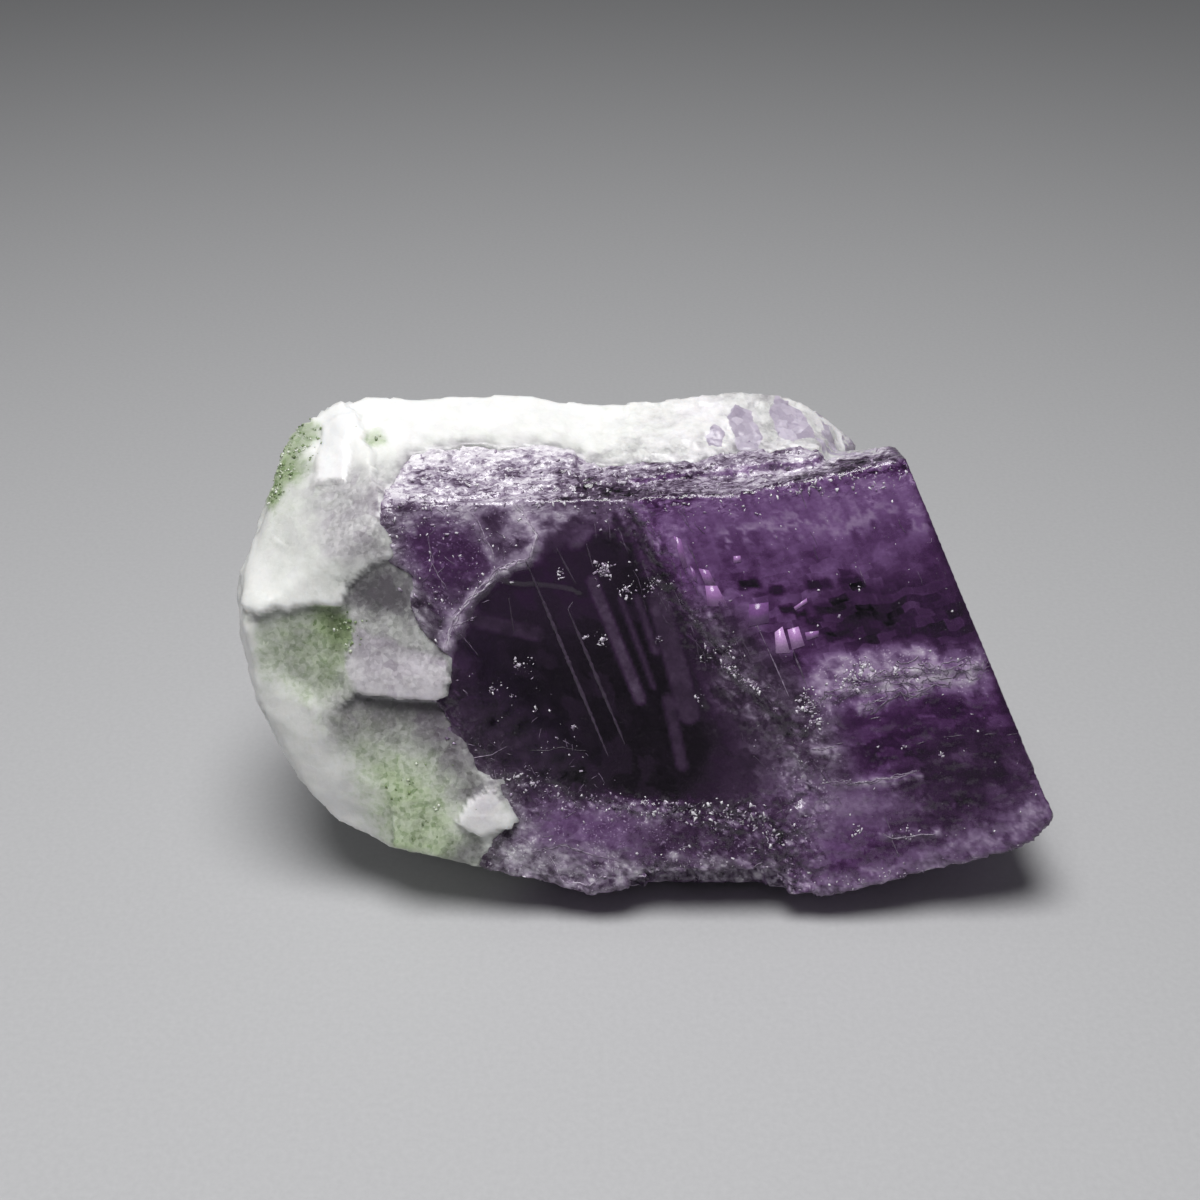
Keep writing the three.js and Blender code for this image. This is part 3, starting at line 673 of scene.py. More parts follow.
def crystal_look(piece):
    """Stores how milky, violet, broken, blocky, flaky and speckled the crystal is at each point."""
    mesh = piece.data
    points, normals = read(mesh, "co"), read(mesh, "normal")
    z = zones(points, normals)
    u, h, spots, rough = z["u"], z["h"], z["spots"], z["rough"]
    milk = np.full(len(points), 0.17)
    violet = np.full(len(points), 0.35)

    def paint(share, level, tint=None):
        """Moves milkiness and tint to new ones, by a share for each point."""
        nonlocal milk, violet
        milk = toward(milk, level, share)
        if tint is not None:
            violet = toward(violet, tint, share)

    def area(corners, soft, exact=False):
        return step(inside(rough if exact else spots, corners), -soft, soft)

    cloud = 0.5 + 0.5 * wave(points, 3.0, 3, 100, 0.55)
    fine = wave(points, 0.7, 3, 110, 0.6)
    fleck = cell_value(growth(crooked(points, 0.8, 0.2, 120), 0.26, 0.24, 0.4), 121)
    along = growth(crooked(points, 1.0, 0.2, 122), 1, 1)
    pane, _ = facets(along, np.array([1.1, 1.5, 1.5]), 123)
    chip, _ = facets(along, np.array([0.55, 0.42, 0.6]), 126)
    lens, _ = facets(growth(crooked(points, 1.6, 0.3, 124), 1, 1), np.array([3.0, 0.8, 2.0]), 125)
    pane, lens, chip = pane - 0.5, lens - 0.5, chip - 0.5
    drawn_out = np.stack([points[:, 0] / 5, points[:, 1], points[:, 2] - 0.2 * points[:, 0]], 1)
    level = wave(drawn_out, 0.55, 3, 125, 0.6)
    steep = wave(growth(points, 0.40, 5.0), 1.0, 3, 128, 0.6)
    ragged = h + 0.045 * wave(points * [0.7, 1, 1], 1.2, 4, 131, 0.7)
    crust_edge = 0.895 + 0.05 * step(u, 0.50, 0.66)

    paint(1 - step(u, 0.24, 0.32), 0.28 + 0.12 * fine + 0.16 * pane)
    paint(step(z["left_flake"], 0, 1.0) * step(z["inner_flake"], 0, 0.4), 0.34 + 0.14 * fine + 0.14 * pane)
    paint(area(POOL, 1.1), 0.18 + 0.08 * cloud, 0.75)
    paint(step(ragged, 0.82, 0.92) * (1 - step(u, 0.40, 0.62)), 0.48 + 0.16 * level, 0.35)
    paint(step(ragged, crust_edge - 0.05, crust_edge + 0.03), 0.55 + 0.2 * level, 0.25)
    paint(hump(z["diagonal"], 2.2), 0.21 + 0.16 * steep + 0.06 * fine + 0.24 * pane + 0.14 * chip, 0.45)
    panel = step(z["panel"], -0.2, 0.8)
    paint(panel, 0.19 + 0.20 * cloud + 0.08 * pane + 0.09 * lens, 0.95)
    paint(panel * step(h, 0.70, 0.86) * (1 - step(u, 0.74, 0.85)),
          0.30 + 0.16 * cloud + 0.08 * pane + 0.06 * steep)
    paint(panel * area(DARK_HEART, 2.0), 0.07 + 0.06 * pane + 0.09 * cloud, 0.8)
    paint(panel * hump(z["diagonal"] - 1.6, 1.4) * step(h, 0.45, 0.55), 0.36 + 0.10 * steep + 0.1 * pane)
    pale = panel * hump(off_line(spots, PALE_PATCHES), 0.9)
    paint(pale * step(chip + 0.5 * fine, 0.0, 0.3), 0.52, 0.75)
    for bu, bh, across, down in DARK_BLOCKS:
        paint(0.85 * in_block(crooked(points, 0.8, 0.08, 132), bu, bh, across, down), 0.03)
    paint(area(DULL, 1.4), 0.22 + 0.05 * fine + 0.20 * pane + 0.04 * chip, 0.25)
    paint(step(z["below"], -0.1, 0.3), 0.15 + 0.04 * level + 0.08 * cloud + 0.24 * lens, 1.0)
    paint(area(CORNER, 1.5), 0.15 + 0.05 * level + 0.12 * pane, 0.6)
    paint(area(SMOKE, 1.6), 0.30 + 0.10 * fine + 0.12 * pane, 0.3)
    paint(area(MILK_HAZE, 1.8), 0.46 + 0.05 * fine, 0.6)
    paint(area(VEIN_HAZE, 0.7) * (1 - 0.25 * step(u, 0.80, 0.86)), 0.52 + 0.24 * fine + 0.18 * chip, 0.7)
    paint(hump(off_line(spots, RIGHT_HAZE), 0.8) * 0.8, 0.42 + 0.2 * fine, 0.5)
    low = (1 - step(ragged, 0.16, 0.27)) * (1 - step(u, 0.66, 0.74))
    soft = 0.5 + 0.5 * wave(points * [0.6, 1, 1], 2.0, 2, 133)
    paint(low, 0.36 - 0.20 * step(u, 0.43, 0.56) + 0.14 * soft + 0.08 * fine + 0.12 * pane + 0.06 * chip, 0.5)
    paint(low * (1 - step(h, 0.10, 0.17)) * (1 - step(u, 0.36, 0.46)), 0.50 + 0.16 * fine + 0.14 * chip, 0.1)
    paint(area(LOWER_DARK, 1.0), 0.20 + 0.08 * fine, 0.5)
    paint(area(LENS, 0.9) * (1 - step(u, 0.44, 0.54)), 0.36 + 0.05 * fine, 0.8)
    paint(0.8 * hump(off_line(spots, WINDOW[5:9]), 1.0), 0.24 + 0.14 * pane + 0.10 * fine, 0.5)
    paint(low * (1 - step(ragged, 0.04, 0.10)), 0.46 + 0.2 * fine + 0.3 * chip, 0.2)
    paint(hump(off_line(spots, RIM), 1.6), 0.44 + 0.12 * fine + 0.22 * chip, 0.6)
    paint(step(z["under"], 0, 1), 0.30 + 0.1 * cloud, 0.5)
    window = step(z["window"], -0.35 - 1.6 * step(u, 0.47, 0.56), 0.5 + 0.8 * step(u, 0.47, 0.56))
    hollow = 0.015 + 0.06 * step(h, 0.5, 0.75) * (1 - step(u, 0.40, 0.50)) + 0.03 * step(pane, 0.2, 0.4)
    paint(window, hollow, 0.7)
    for start, end, width, bright in WINDOW_BANDS:
        band = step(off_line(points[:, [0, 2]], [start, end]), width + 0.1, width - 0.15)
        paint(step(z["window"], -0.9, 0.0) * band, bright + 0.04 * fine, 0.25)
    paint(area(GREY_CORNER, 1.2), 0.10 + 0.10 * fine, 0.1)
    contact = 1 - step(z["edge"], 0.2, 2.0)
    paint(contact * step(h, 0.70, 0.80), 0.52 + 0.18 * fine, 0.15)
    paint(contact * (1 - step(h, 0.25, 0.35)), 0.33 + 0.15 * fine, 0.0)
    paint(area(TRIANGLE, 0.6),
          0.34 + 0.20 * fine + 0.25 * step(chip, 0.2, 0.4) - 0.2 * step(-chip, 0.2, 0.4), 0.05)

    paint(hump(off_line(rough, RIDGE), 0.45) * np.clip(0.8 + 0.5 * fine, 0, 1), 0.78, 0.4)
    paint(hump(off_line(rough, INNER_RIDGE), 0.35) * np.clip(0.7 + 0.5 * fine, 0, 1), 0.60, 0.4)
    paint(hump(z["veins"], 0.30) * np.clip(0.45 + 0.9 * fine, 0, 1), 0.72, 0.4)
    blocky = panel * area(BLOCKY, 1.5)
    milk = milk + (0.40 * step(fleck, 0.90, 0.99) - 0.10 * step(1 - fleck, 0.8, 0.95)) * z["broken"]

    other = 0.34 + 0.12 * cloud + 0.12 * fine + 0.4 * step(fleck, 0.88, 0.99)
    other = other * (1 - z["end"]) + (0.16 + 0.06 * cloud) * z["end"]
    milk = z["facing"] * milk + (1 - z["facing"]) * other
    crust = z["top"] * (1 - z["end"])
    paint(crust, 0.58 + 0.12 * fine, 0.2)
    paint(hump(points @ END - (points @ END).max(), 0.45) * step(h, 0.3, 0.4) * z["facing"], 0.06, 0.8)
    violet = z["facing"] * violet + (1 - z["facing"]) * (0.5 + 0.4 * z["end"] - 0.3 * z["top"])
    flaky = 0.95 * step(ragged, crust_edge - 0.07, crust_edge + 0.06) * (1 - 0.2 * step(u, 0.80, 0.95))
    flaky = np.maximum(np.clip(flaky, 0, 1) * z["facing"], crust)
    flaky = np.maximum(flaky, 0.6 * contact * z["facing"] * step(h, 0.74, 0.82))
    specks = 0.9 * hump(z["speckle_row"], 0.7) + 0.6 * low + 0.5 * step(z["left_flake"], 0, 1)
    specks += 0.35 * hump(z["diagonal"], 1.6) + 0.4 * hump(off_line(spots, LOWER_SPECKLE[:3]), 1.2)
    specks += 0.6 * area(VEIN_HAZE, 0.5) + 0.25 * area(SMOKE, 1) + 0.3 * area(GREY_CORNER, 1)
    specks = np.clip(specks, 0, 1) * z["facing"] * (1 - z["end"]) * (1 - window)
    shade = 0.05 + 0.03 * (1 - step(u, 0.35, 0.55)) - 0.05 * step(u, 0.45, 0.6)
    shade -= 0.16 * (1 - step(u, 0.23, 0.29)) * z["facing"]
    shade -= 0.34 * step(off_line(rough, DARK_SEAM), 0.9, 0.3)
    shade -= 0.22 * step(wave(points * [0.6, 1, 1], 1.0, 3, 141), -0.1, 0.5) * (1 - step(ragged, 0.91, 0.96))
    beside = 0.28 * z["top"] * (1 - step(z["edge"], 0.2, 2.5)) + 0.04 * contact * z["facing"]
    shade = shade + beside * step(h, 0.8, 0.88)
    store(mesh, milk=milk, violet=violet, broken=z["broken"], blocky=blocky, flaky=flaky, specks=specks,
          crust=0.4 + shade)


# ---------------------------------------------------------------- the matrix


def matrix_zones(points, normals):
    """Named shares and distances over the matrix's surface."""
    drawn = crooked(crooked(points, 3.0, 0.5, 202), 0.9, 0.25, 204)[:, [0, 2]]
    bent = crooked(points, 1.8, 0.2, 200)
    jagged = crooked(bent, 0.6, 0.10, 205)
    rough, spots = jagged[:, [0, 2]], bent[:, [0, 2]]
    from_above = np.column_stack([jagged[:, 0], jagged[:, 1] * SIZE[2] / SIZE[1]])
    return {
        "bent": bent,
        "facing": step(normals @ FRONT, 0.2, 0.5),
        "frontal": step(normals @ FRONT, -0.6, -0.2),
        "top": step(normals[:, 2], 0.35, 0.7),
        "upper": inside(rough, UPPER_PLATE),
        "middle": inside(rough, MIDDLE_PLATE),
        "small": inside(rough, SMALL_PLATE),
        "hollow": inside(spots, HOLLOW),
        "below_brow": np.interp(bent[:, 0] / SIZE[0], *np.array(BROW).T) * SIZE[2] - rough[:, 1],
        "brow_span": step(bent[:, 0] / SIZE[0], 0.12, 0.15) * step(bent[:, 0] / SIZE[0], 0.30, 0.27),
        "slab": inside(from_above, WHITE_SLAB),
        "drawn": drawn,
        "from_above": from_above,
    }


def plates(z, sharp):
    """1 on the raised plates of the matrix's front, 0 beside them."""
    fading = step(z["bent"][:, 2] / SIZE[2], 0.57, 0.49) * step(z["bent"][:, 0] / SIZE[0], 0.145, 0.19)
    return np.maximum.reduce([step(z[name], -sharp, sharp) * (fading if name == "middle" else 1)
                              for name in ("upper", "middle", "small")])


def matrix_relief(points, normals):
    """How far out each point moves: breaks and lumps, then the plates, the hollow and the cleft."""
    z = matrix_zones(points, normals)
    _, large = facets(crooked(points, 1.5, 0.4, 215), 2.4, 216, 0.16)
    _, small = facets(crooked(points, 0.8, 0.15, 218), 0.8, 219, 0.16)
    steps = np.floor(wave(points, 3.6, 3, 220) * 4) / 4
    waxy = z["facing"] * step(points[:, 0] / SIZE[0], 0.5, 0.4)
    relief = 0.08 + 0.04 * wave(points, 4.5, 3, 210) + (0.05 * steps + 0.5 * large) * (1 - 0.7 * waxy)
    relief += small * (0.4 + 0.6 * step(points[:, 0] / SIZE[0], 0.4, 0.6)) * (1 - 0.75 * waxy)
    front = 0.50 * plates(z, 0.06)
    drop = z["below_brow"]
    sunk = step(drop, -0.12, 0.12) * np.exp(-np.maximum(drop, 0) / 1.6) * z["brow_span"]
    front -= 0.30 * step(z["hollow"], -0.6, 0.9) + 0.75 * sunk
    relief += z["facing"] * front + 0.22 * z["top"] * step(z["slab"], -0.1, 0.1)
    return relief


def matrix_look(piece):
    """Stores how clear, green, lilac and grainy the matrix is at each point, and the painted shade in the
    cleft under the brow.
    """
    mesh = piece.data
    points, normals = read(mesh, "co"), read(mesh, "normal")
    z = matrix_zones(points, normals)
    u, w, h = (points / SIZE).T
    facing, top = z["facing"], z["top"]
    fine = wave(points, 0.8, 3, 240, 0.6)
    cloud = wave(points, 3.0, 3, 250, 0.55)
    waxy = facing * step(u, 0.5, 0.4)
    clear = 0.22 + (0.12 - 0.05 * waxy) * cloud + 0.08 * fine * (1 - 0.6 * waxy)
    right = step(u, 0.42, 0.6)
    clear = toward(clear, 0.04 + 0.28 * right * (0.8 + cloud), top * step(w, 0.45, 0.6))
    grain = 1 - 0.85 * waxy - 0.5 * top * step(u, 0.5, 0.4)
    tones = [clear, np.zeros(len(points)), 0.3 * right * top, grain]

    def paint(share, *levels):
        tones[:len(levels)] = [toward(old, new, share) for old, new in zip(tones, levels)]

    for *middle, radius, to_clear, to_green, to_lilac in MATRIX_TONES:
        away = np.linalg.norm(z["bent"] - SIZE * middle, axis=1)
        paint(1 - step(away / radius, 0.35, 1.15), to_clear, to_green, to_lilac)
    for corners, soft, *levels in FRONT_TONES:
        paint(step(inside(z["drawn"], corners), -soft, soft) * z["frontal"], *levels)
    clear, green, lilac, grain = tones
    clear = clear + 0.10 * fine * (1 - 0.6 * waxy)
    near = np.exp(-np.abs(matrix_gap(points)) / 1.1)
    clear = toward(clear, 0.60 + 0.3 * fine, near * np.maximum(0.5 * facing, 0.9 * top))
    lilac = toward(lilac, 0.45, near * 0.8 * top)
    # Left edge of the front made whiter: partly the white matrix, partly painted light where that edge turns
    # away from the lamp.
    painted_rim_light = facing * (1 - step(u, 0.018, 0.042)) * step(h, 0.3, 0.4)
    clear, green = toward(clear, 0.02, painted_rim_light), green * (1 - painted_rim_light)
    drop = z["below_brow"]
    # Painted shade: the cleft under the brow, below the middle plate, is made dark grey as if it lay in that
    # plate's shadow.
    cleft = facing * z["brow_span"] * step(drop, -0.15, 0.15) * np.exp(-np.maximum(drop, 0) / 1.5)
    clear = toward(clear, 0.88, 0.7 * cleft)
    upper, middle, small = (step(z[name], -0.10, 0.10) * facing for name in ("upper", "middle", "small"))
    low = step(h, 0.80, 0.70)
    clear = toward(clear, 0.15 + 0.04 * fine + 0.08 * cloud, upper * step(h, 0.78, 0.70))
    lower_edge = np.exp(-np.maximum(z["middle"], 0) / 1.3) * step(h, 0.56, 0.50)
    clear = toward(clear, 0.50 - 0.28 * lower_edge + 0.08 * fine, middle)
    clear = toward(clear, 0.08 + 0.05 * fine, small)
    # Painted highlight along the lower edge of the upper plate, and painted shadow in a band just below that
    # edge.
    clear = clear * (1 - 0.9 * facing * low * hump(z["upper"] - 0.15, 0.22))
    clear = toward(clear, 0.75, 0.7 * facing * low * hump(z["upper"] + 0.35, 0.3))
    slab = top * step(z["slab"], -0.15, 0.15)
    clear = clear * (1 - slab)
    plate = np.clip(upper * low + middle + small + slab, 0, 1)
    green = green * (1 - 0.95 * plate)
    lilac = lilac * (1 - upper * low) + 0.35 * middle + 0.12 * small
    patch = np.maximum.reduce([step(inside(z["from_above"], ring), -0.1, 0.2) for ring in LILAC_PATCHES])
    patch = np.maximum(patch, step(u, 0.70, 0.73) * (0.4 + fine)) * step(h, 0.75, 0.85)
    grain = np.clip(grain + 0.6 * near, 0, 1)
    store(mesh, green=green, clear=clear, lilac=lilac, patch=patch, grey=cleft * (1 - plate), grain=grain)


# ---------------------------------------------------------------- small pieces


def shards(name, centres, axes, halves, jitter, seed, **layers):
    """One mesh of many small uneven blocks. axes hold three directions for each, halves their half sizes."""
    rng = np.random.default_rng(seed)
    signs = np.array(list(itertools.product((-1, 1), repeat=3)), float)
    local = signs[None] * (1 + jitter * rng.uniform(-1, 1, (len(centres), 8, 3)))
    points = centres[:, None] + np.einsum("nkj,nji->nki", local * halves[:, None], axes)
    points = np.clip(points, LEAST, MOST)
    box = np.array([(0, 1, 3, 2), (4, 6, 7, 5), (0, 4, 5, 1), (2, 3, 7, 6), (0, 2, 6, 4), (1, 5, 7, 3)])
    faces = (np.arange(len(centres))[:, None, None] * 8 + box).reshape(-1, 4)
    piece = make_piece(name, points.reshape(-1, 3), faces)
    store(piece.data, **{name: np.repeat(values, 8) for name, values in layers.items()})
    return piece


def turned(count, seed):
    """Random sets of three square directions."""
    rng = np.random.default_rng(seed)
    q = rng.normal(size=(count, 4))
    q /= np.linalg.norm(q, axis=1, keepdims=True)
    a, b, c, d = q.T
    rows = [[1 - 2 * (c * c + d * d), 2 * (b * c - a * d), 2 * (b * d + a * c)],
            [2 * (b * c + a * d), 1 - 2 * (b * b + d * d), 2 * (c * d - a * b)],
            [2 * (b * d - a * c), 2 * (c * d + a * b), 1 - 2 * (b * b + c * c)]]
    return np.moveaxis(np.array(rows), 2, 0)


def headed(headings, tilt, rng, out=FRONT):
    """Three square directions for each heading in the big face: along, across and out of it."""
    along = np.cos(headings)[:, None] * RIGHTWARD + np.sin(headings)[:, None] * UPWARD
    out = out + rng.normal(0, tilt, along.shape)
    across = np.cross(out, along)
    across /= np.linalg.norm(across, axis=1, keepdims=True)
    return np.stack([along, across, np.cross(along, across)], 1)


class Skin:
    """A carved piece, to find its surface in front of or behind a place."""

    def __init__(self, piece):
        quads = np.empty(len(piece.data.polygons) * 4, np.int32)
        piece.data.polygons.foreach_get("vertices", quads)
        self.tree = BVHTree.FromPolygons(read(piece.data, "co").tolist(), quads.reshape(-1, 4).tolist())

    def cast(self, starts, way, reach=9.0):
        hits = [self.tree.ray_cast(Vector(start), Vector(way), reach)[0] for start in starts]
        found = np.array([hit is not None for hit in hits])
        return found, np.array([hit for hit in hits if hit is not None]).reshape(-1, 3)

    def front(self, spots):
        """The surface met on the way in through the big face at these spots across and up it."""
        x, z = spots.T
        return self.cast(np.stack([x, front_depth(z), z], 1) + 3.5 * FRONT, -FRONT)


def follow(corners, gap, spread, rng):
    """Spots strewn along a line over the big face."""
    line = outline(corners)
    spots = []
    for a, b in zip(line[:-1], line[1:]):
        length = np.linalg.norm(b - a)
        count = max(1, rng.poisson(length / gap))
        t = rng.uniform(0, 1, (count, 1))
        spots.append(a + t * (b - a) + rng.normal(0, spread, (count, 2)))
    return np.concatenate(spots)


def strewn(count, corners, rng):
    """Spots strewn evenly inside an outline on the big face."""
    ring = outline(corners)
    spots = rng.uniform(ring.min(0), ring.max(0), (count * 4, 2))
    return spots[inside(spots, corners) > 0][:count]


def threads(skin, name, lines, seed):
    """Thin ridges that follow lines over the big face: points, width, stray and brightness of each."""
    rng = np.random.default_rng(seed)
    vertices, faces, tones, count = [], [], [], 0
    for number, (line, width, stray, bright) in enumerate(lines):
        reach = np.append(0, np.cumsum(np.linalg.norm(np.diff(line, axis=0), axis=1)))
        t = np.linspace(0, reach[-1], max(4, int(reach[-1] / 0.15)))
        spots = np.stack([np.interp(t, reach, line[:, k]) for k in (0, 1)], 1)
        track = np.column_stack([spots[:, 0], np.full(len(t), 2.3 * number), spots[:, 1]])
        wander = np.stack([wave(track, 0.8, 3, seed + k) for k in (0, 7)], 1)
        _, points = skin.front(spots + stray * wander)
        if len(points) < 4:
            continue
        along = np.gradient(points, axis=0)
        across = np.cross(FRONT, along)
        across /= np.linalg.norm(across, axis=1, keepdims=True)
        taper = np.sin(np.linspace(0.1, math.pi - 0.1, len(points))) ** 0.6
        side = across * (width / 2 * taper * rng.uniform(0.5, 1.3, len(points)))[:, None]
        above, below = points + 0.02 * FRONT, points - 0.06 * FRONT
        vertices.append(np.stack([above + side, above - side, below - side, below + side], 1).reshape(-1, 3))
        ring, turn = np.arange(4), np.roll(np.arange(4), -1)
        first = 4 * np.arange(len(points) - 1)[:, None]
        walls = np.stack([first + ring, first + turn, first + 4 + turn, first + 4 + ring], 2).reshape(-1, 4)
        ends = np.array([[3, 2, 1, 0], 4 * len(points) - 4 + ring])
        faces.append(count + np.concatenate([walls, ends]))
        tones.append(np.repeat(bright * rng.uniform(0.7, 1.15, len(points)), 4))
        count += 4 * len(points)
    piece = make_piece(name, np.clip(np.concatenate(vertices), LEAST, MOST), np.concatenate(faces))
    store(piece.data, tone=np.concatenate(tones))
    return piece


def hair_cracks(skin):
    """Thin pale cracks: veins, edges of flakes and short ones in the broken parts."""
    rng = np.random.default_rng(11)
    lines = [(outline(corners), width * rng.uniform(0.6, 1.2), stray, bright * rng.uniform(0.7, 1.0))
             for corners, width, stray, bright, together in CRACKS for _ in range(together)]
    for corners, count, heading, scatter, length, bright in CRACK_FIELDS:
        for start in strewn(count, corners, rng):
            way = heading + rng.normal(0, scatter)
            reach = length * rng.uniform(0.4, 1.3) * np.array([math.cos(way), 0.94 * math.sin(way)])
            width = rng.uniform(0.03, 0.06)
            lines.append((np.array([start, start + reach]), width, 0.08, bright * rng.uniform(0.6, 1)))
    return threads(skin, "hair_cracks", lines, 12)


def sparkles(skin):
    """Small bright flakes that stand in the broken parts of the big face."""
    rng = np.random.default_rng(21)
    spots, size = [], []
    for u, h, spread, count, big in SPARKLE_CLUSTERS:
        middle = SIZE[[0, 2]] * [u, h]
        spots.append(middle + rng.normal(0, spread, (count, 2)))
        size.append(0.05 + rng.uniform(0, 1, count) ** 2 * big)
    for corners, gap, spread, big in SPARKLE_LINES:
        where = follow(corners, gap, spread, rng)
        spots.append(where)
        size.append(0.04 + rng.uniform(0, 1, len(where)) ** 3 * big)
    for corners, count, big in SPARKLE_FIELDS:
        where = strewn(count, corners, rng)
        spots.append(where)
        size.append(0.04 + rng.uniform(0, 1, len(where)) ** 3 * big)
    spots, size = np.concatenate(spots), np.concatenate(size)
    found, points = skin.front(spots)
    size = size[found]
    toward_light = FRONT + [0, 0.1, 0.55]
    axes = headed(rng.uniform(0, math.pi, len(points)), 0.35, rng, toward_light)
    halves = size[:, None] * rng.uniform([0.4, 0.25, 0.08], [1.2, 0.8, 0.25], (len(points), 3)) / 2
    return shards("sparkles", points, axes, halves, 0.55, 22, tone=rng.uniform(0.45, 1.0, len(points)))


def growth_lines(skin):
    """Straight thin ridges along the growth of the crystal, in the dark window."""
    lines = [(outline(ends), width, 0.008, bright) for *ends, width, bright in GROWTH_LINES]
    return threads(skin, "growth_lines", lines, 31)


def painted_glint_plates(skin):
    """Small flat plates of cleavage, painted bright as a painted reflection of the lamp off inner cleavage.
    """
    corners = np.concatenate([outline(quad) for quad, _ in PLATES])
    _, points = skin.front(corners)
    points = points.reshape(-1, 4, 3)
    points = np.concatenate([points - 0.15 * FRONT, points + 0.03 * FRONT], 1)
    box = np.array([(0, 1, 2, 3), (7, 6, 5, 4), (0, 4, 5, 1), (1, 5, 6, 2), (2, 6, 7, 3), (3, 7, 4, 0)])
    faces = (np.arange(len(points))[:, None, None] * 8 + box).reshape(-1, 4)
    piece = make_piece("painted_glint_plates", points.reshape(-1, 3), faces)
    store(piece.data, tone=np.repeat([bright for _, bright in PLATES], 8))
    return piece


def green_grains(skin):
    """Green grains half sunk in the pale matrix."""
    rng = np.random.default_rng(51)
    centres, tone = [], []
    for gu, gw, gh, radius, count in GREEN:
        middle = SIZE * [gu, gw, gh]
        starts = middle + rng.normal(0, 0.40 * radius, (count, 3))
        way = (middle - SIZE / 2) * [1.0, 1.4, 1.0]
        way /= np.linalg.norm(way)
        _, points = skin.cast(starts + 4 * way, -way, 8.0)
        centres.append(points)
        tone.append(rng.uniform(0, 1, len(points)))
    centres, tone = np.concatenate(centres), np.concatenate(tone)
    halves = 0.025 + 0.07 * rng.uniform(0, 1, (len(centres), 1)) ** 2
    halves = halves * rng.uniform(0.5, 1.3, (len(centres), 3))
    return shards("green_grains", centres, turned(len(centres), 52), halves, 0.35, 53, tone=tone)


# ---------------------------------------------------------------- materials


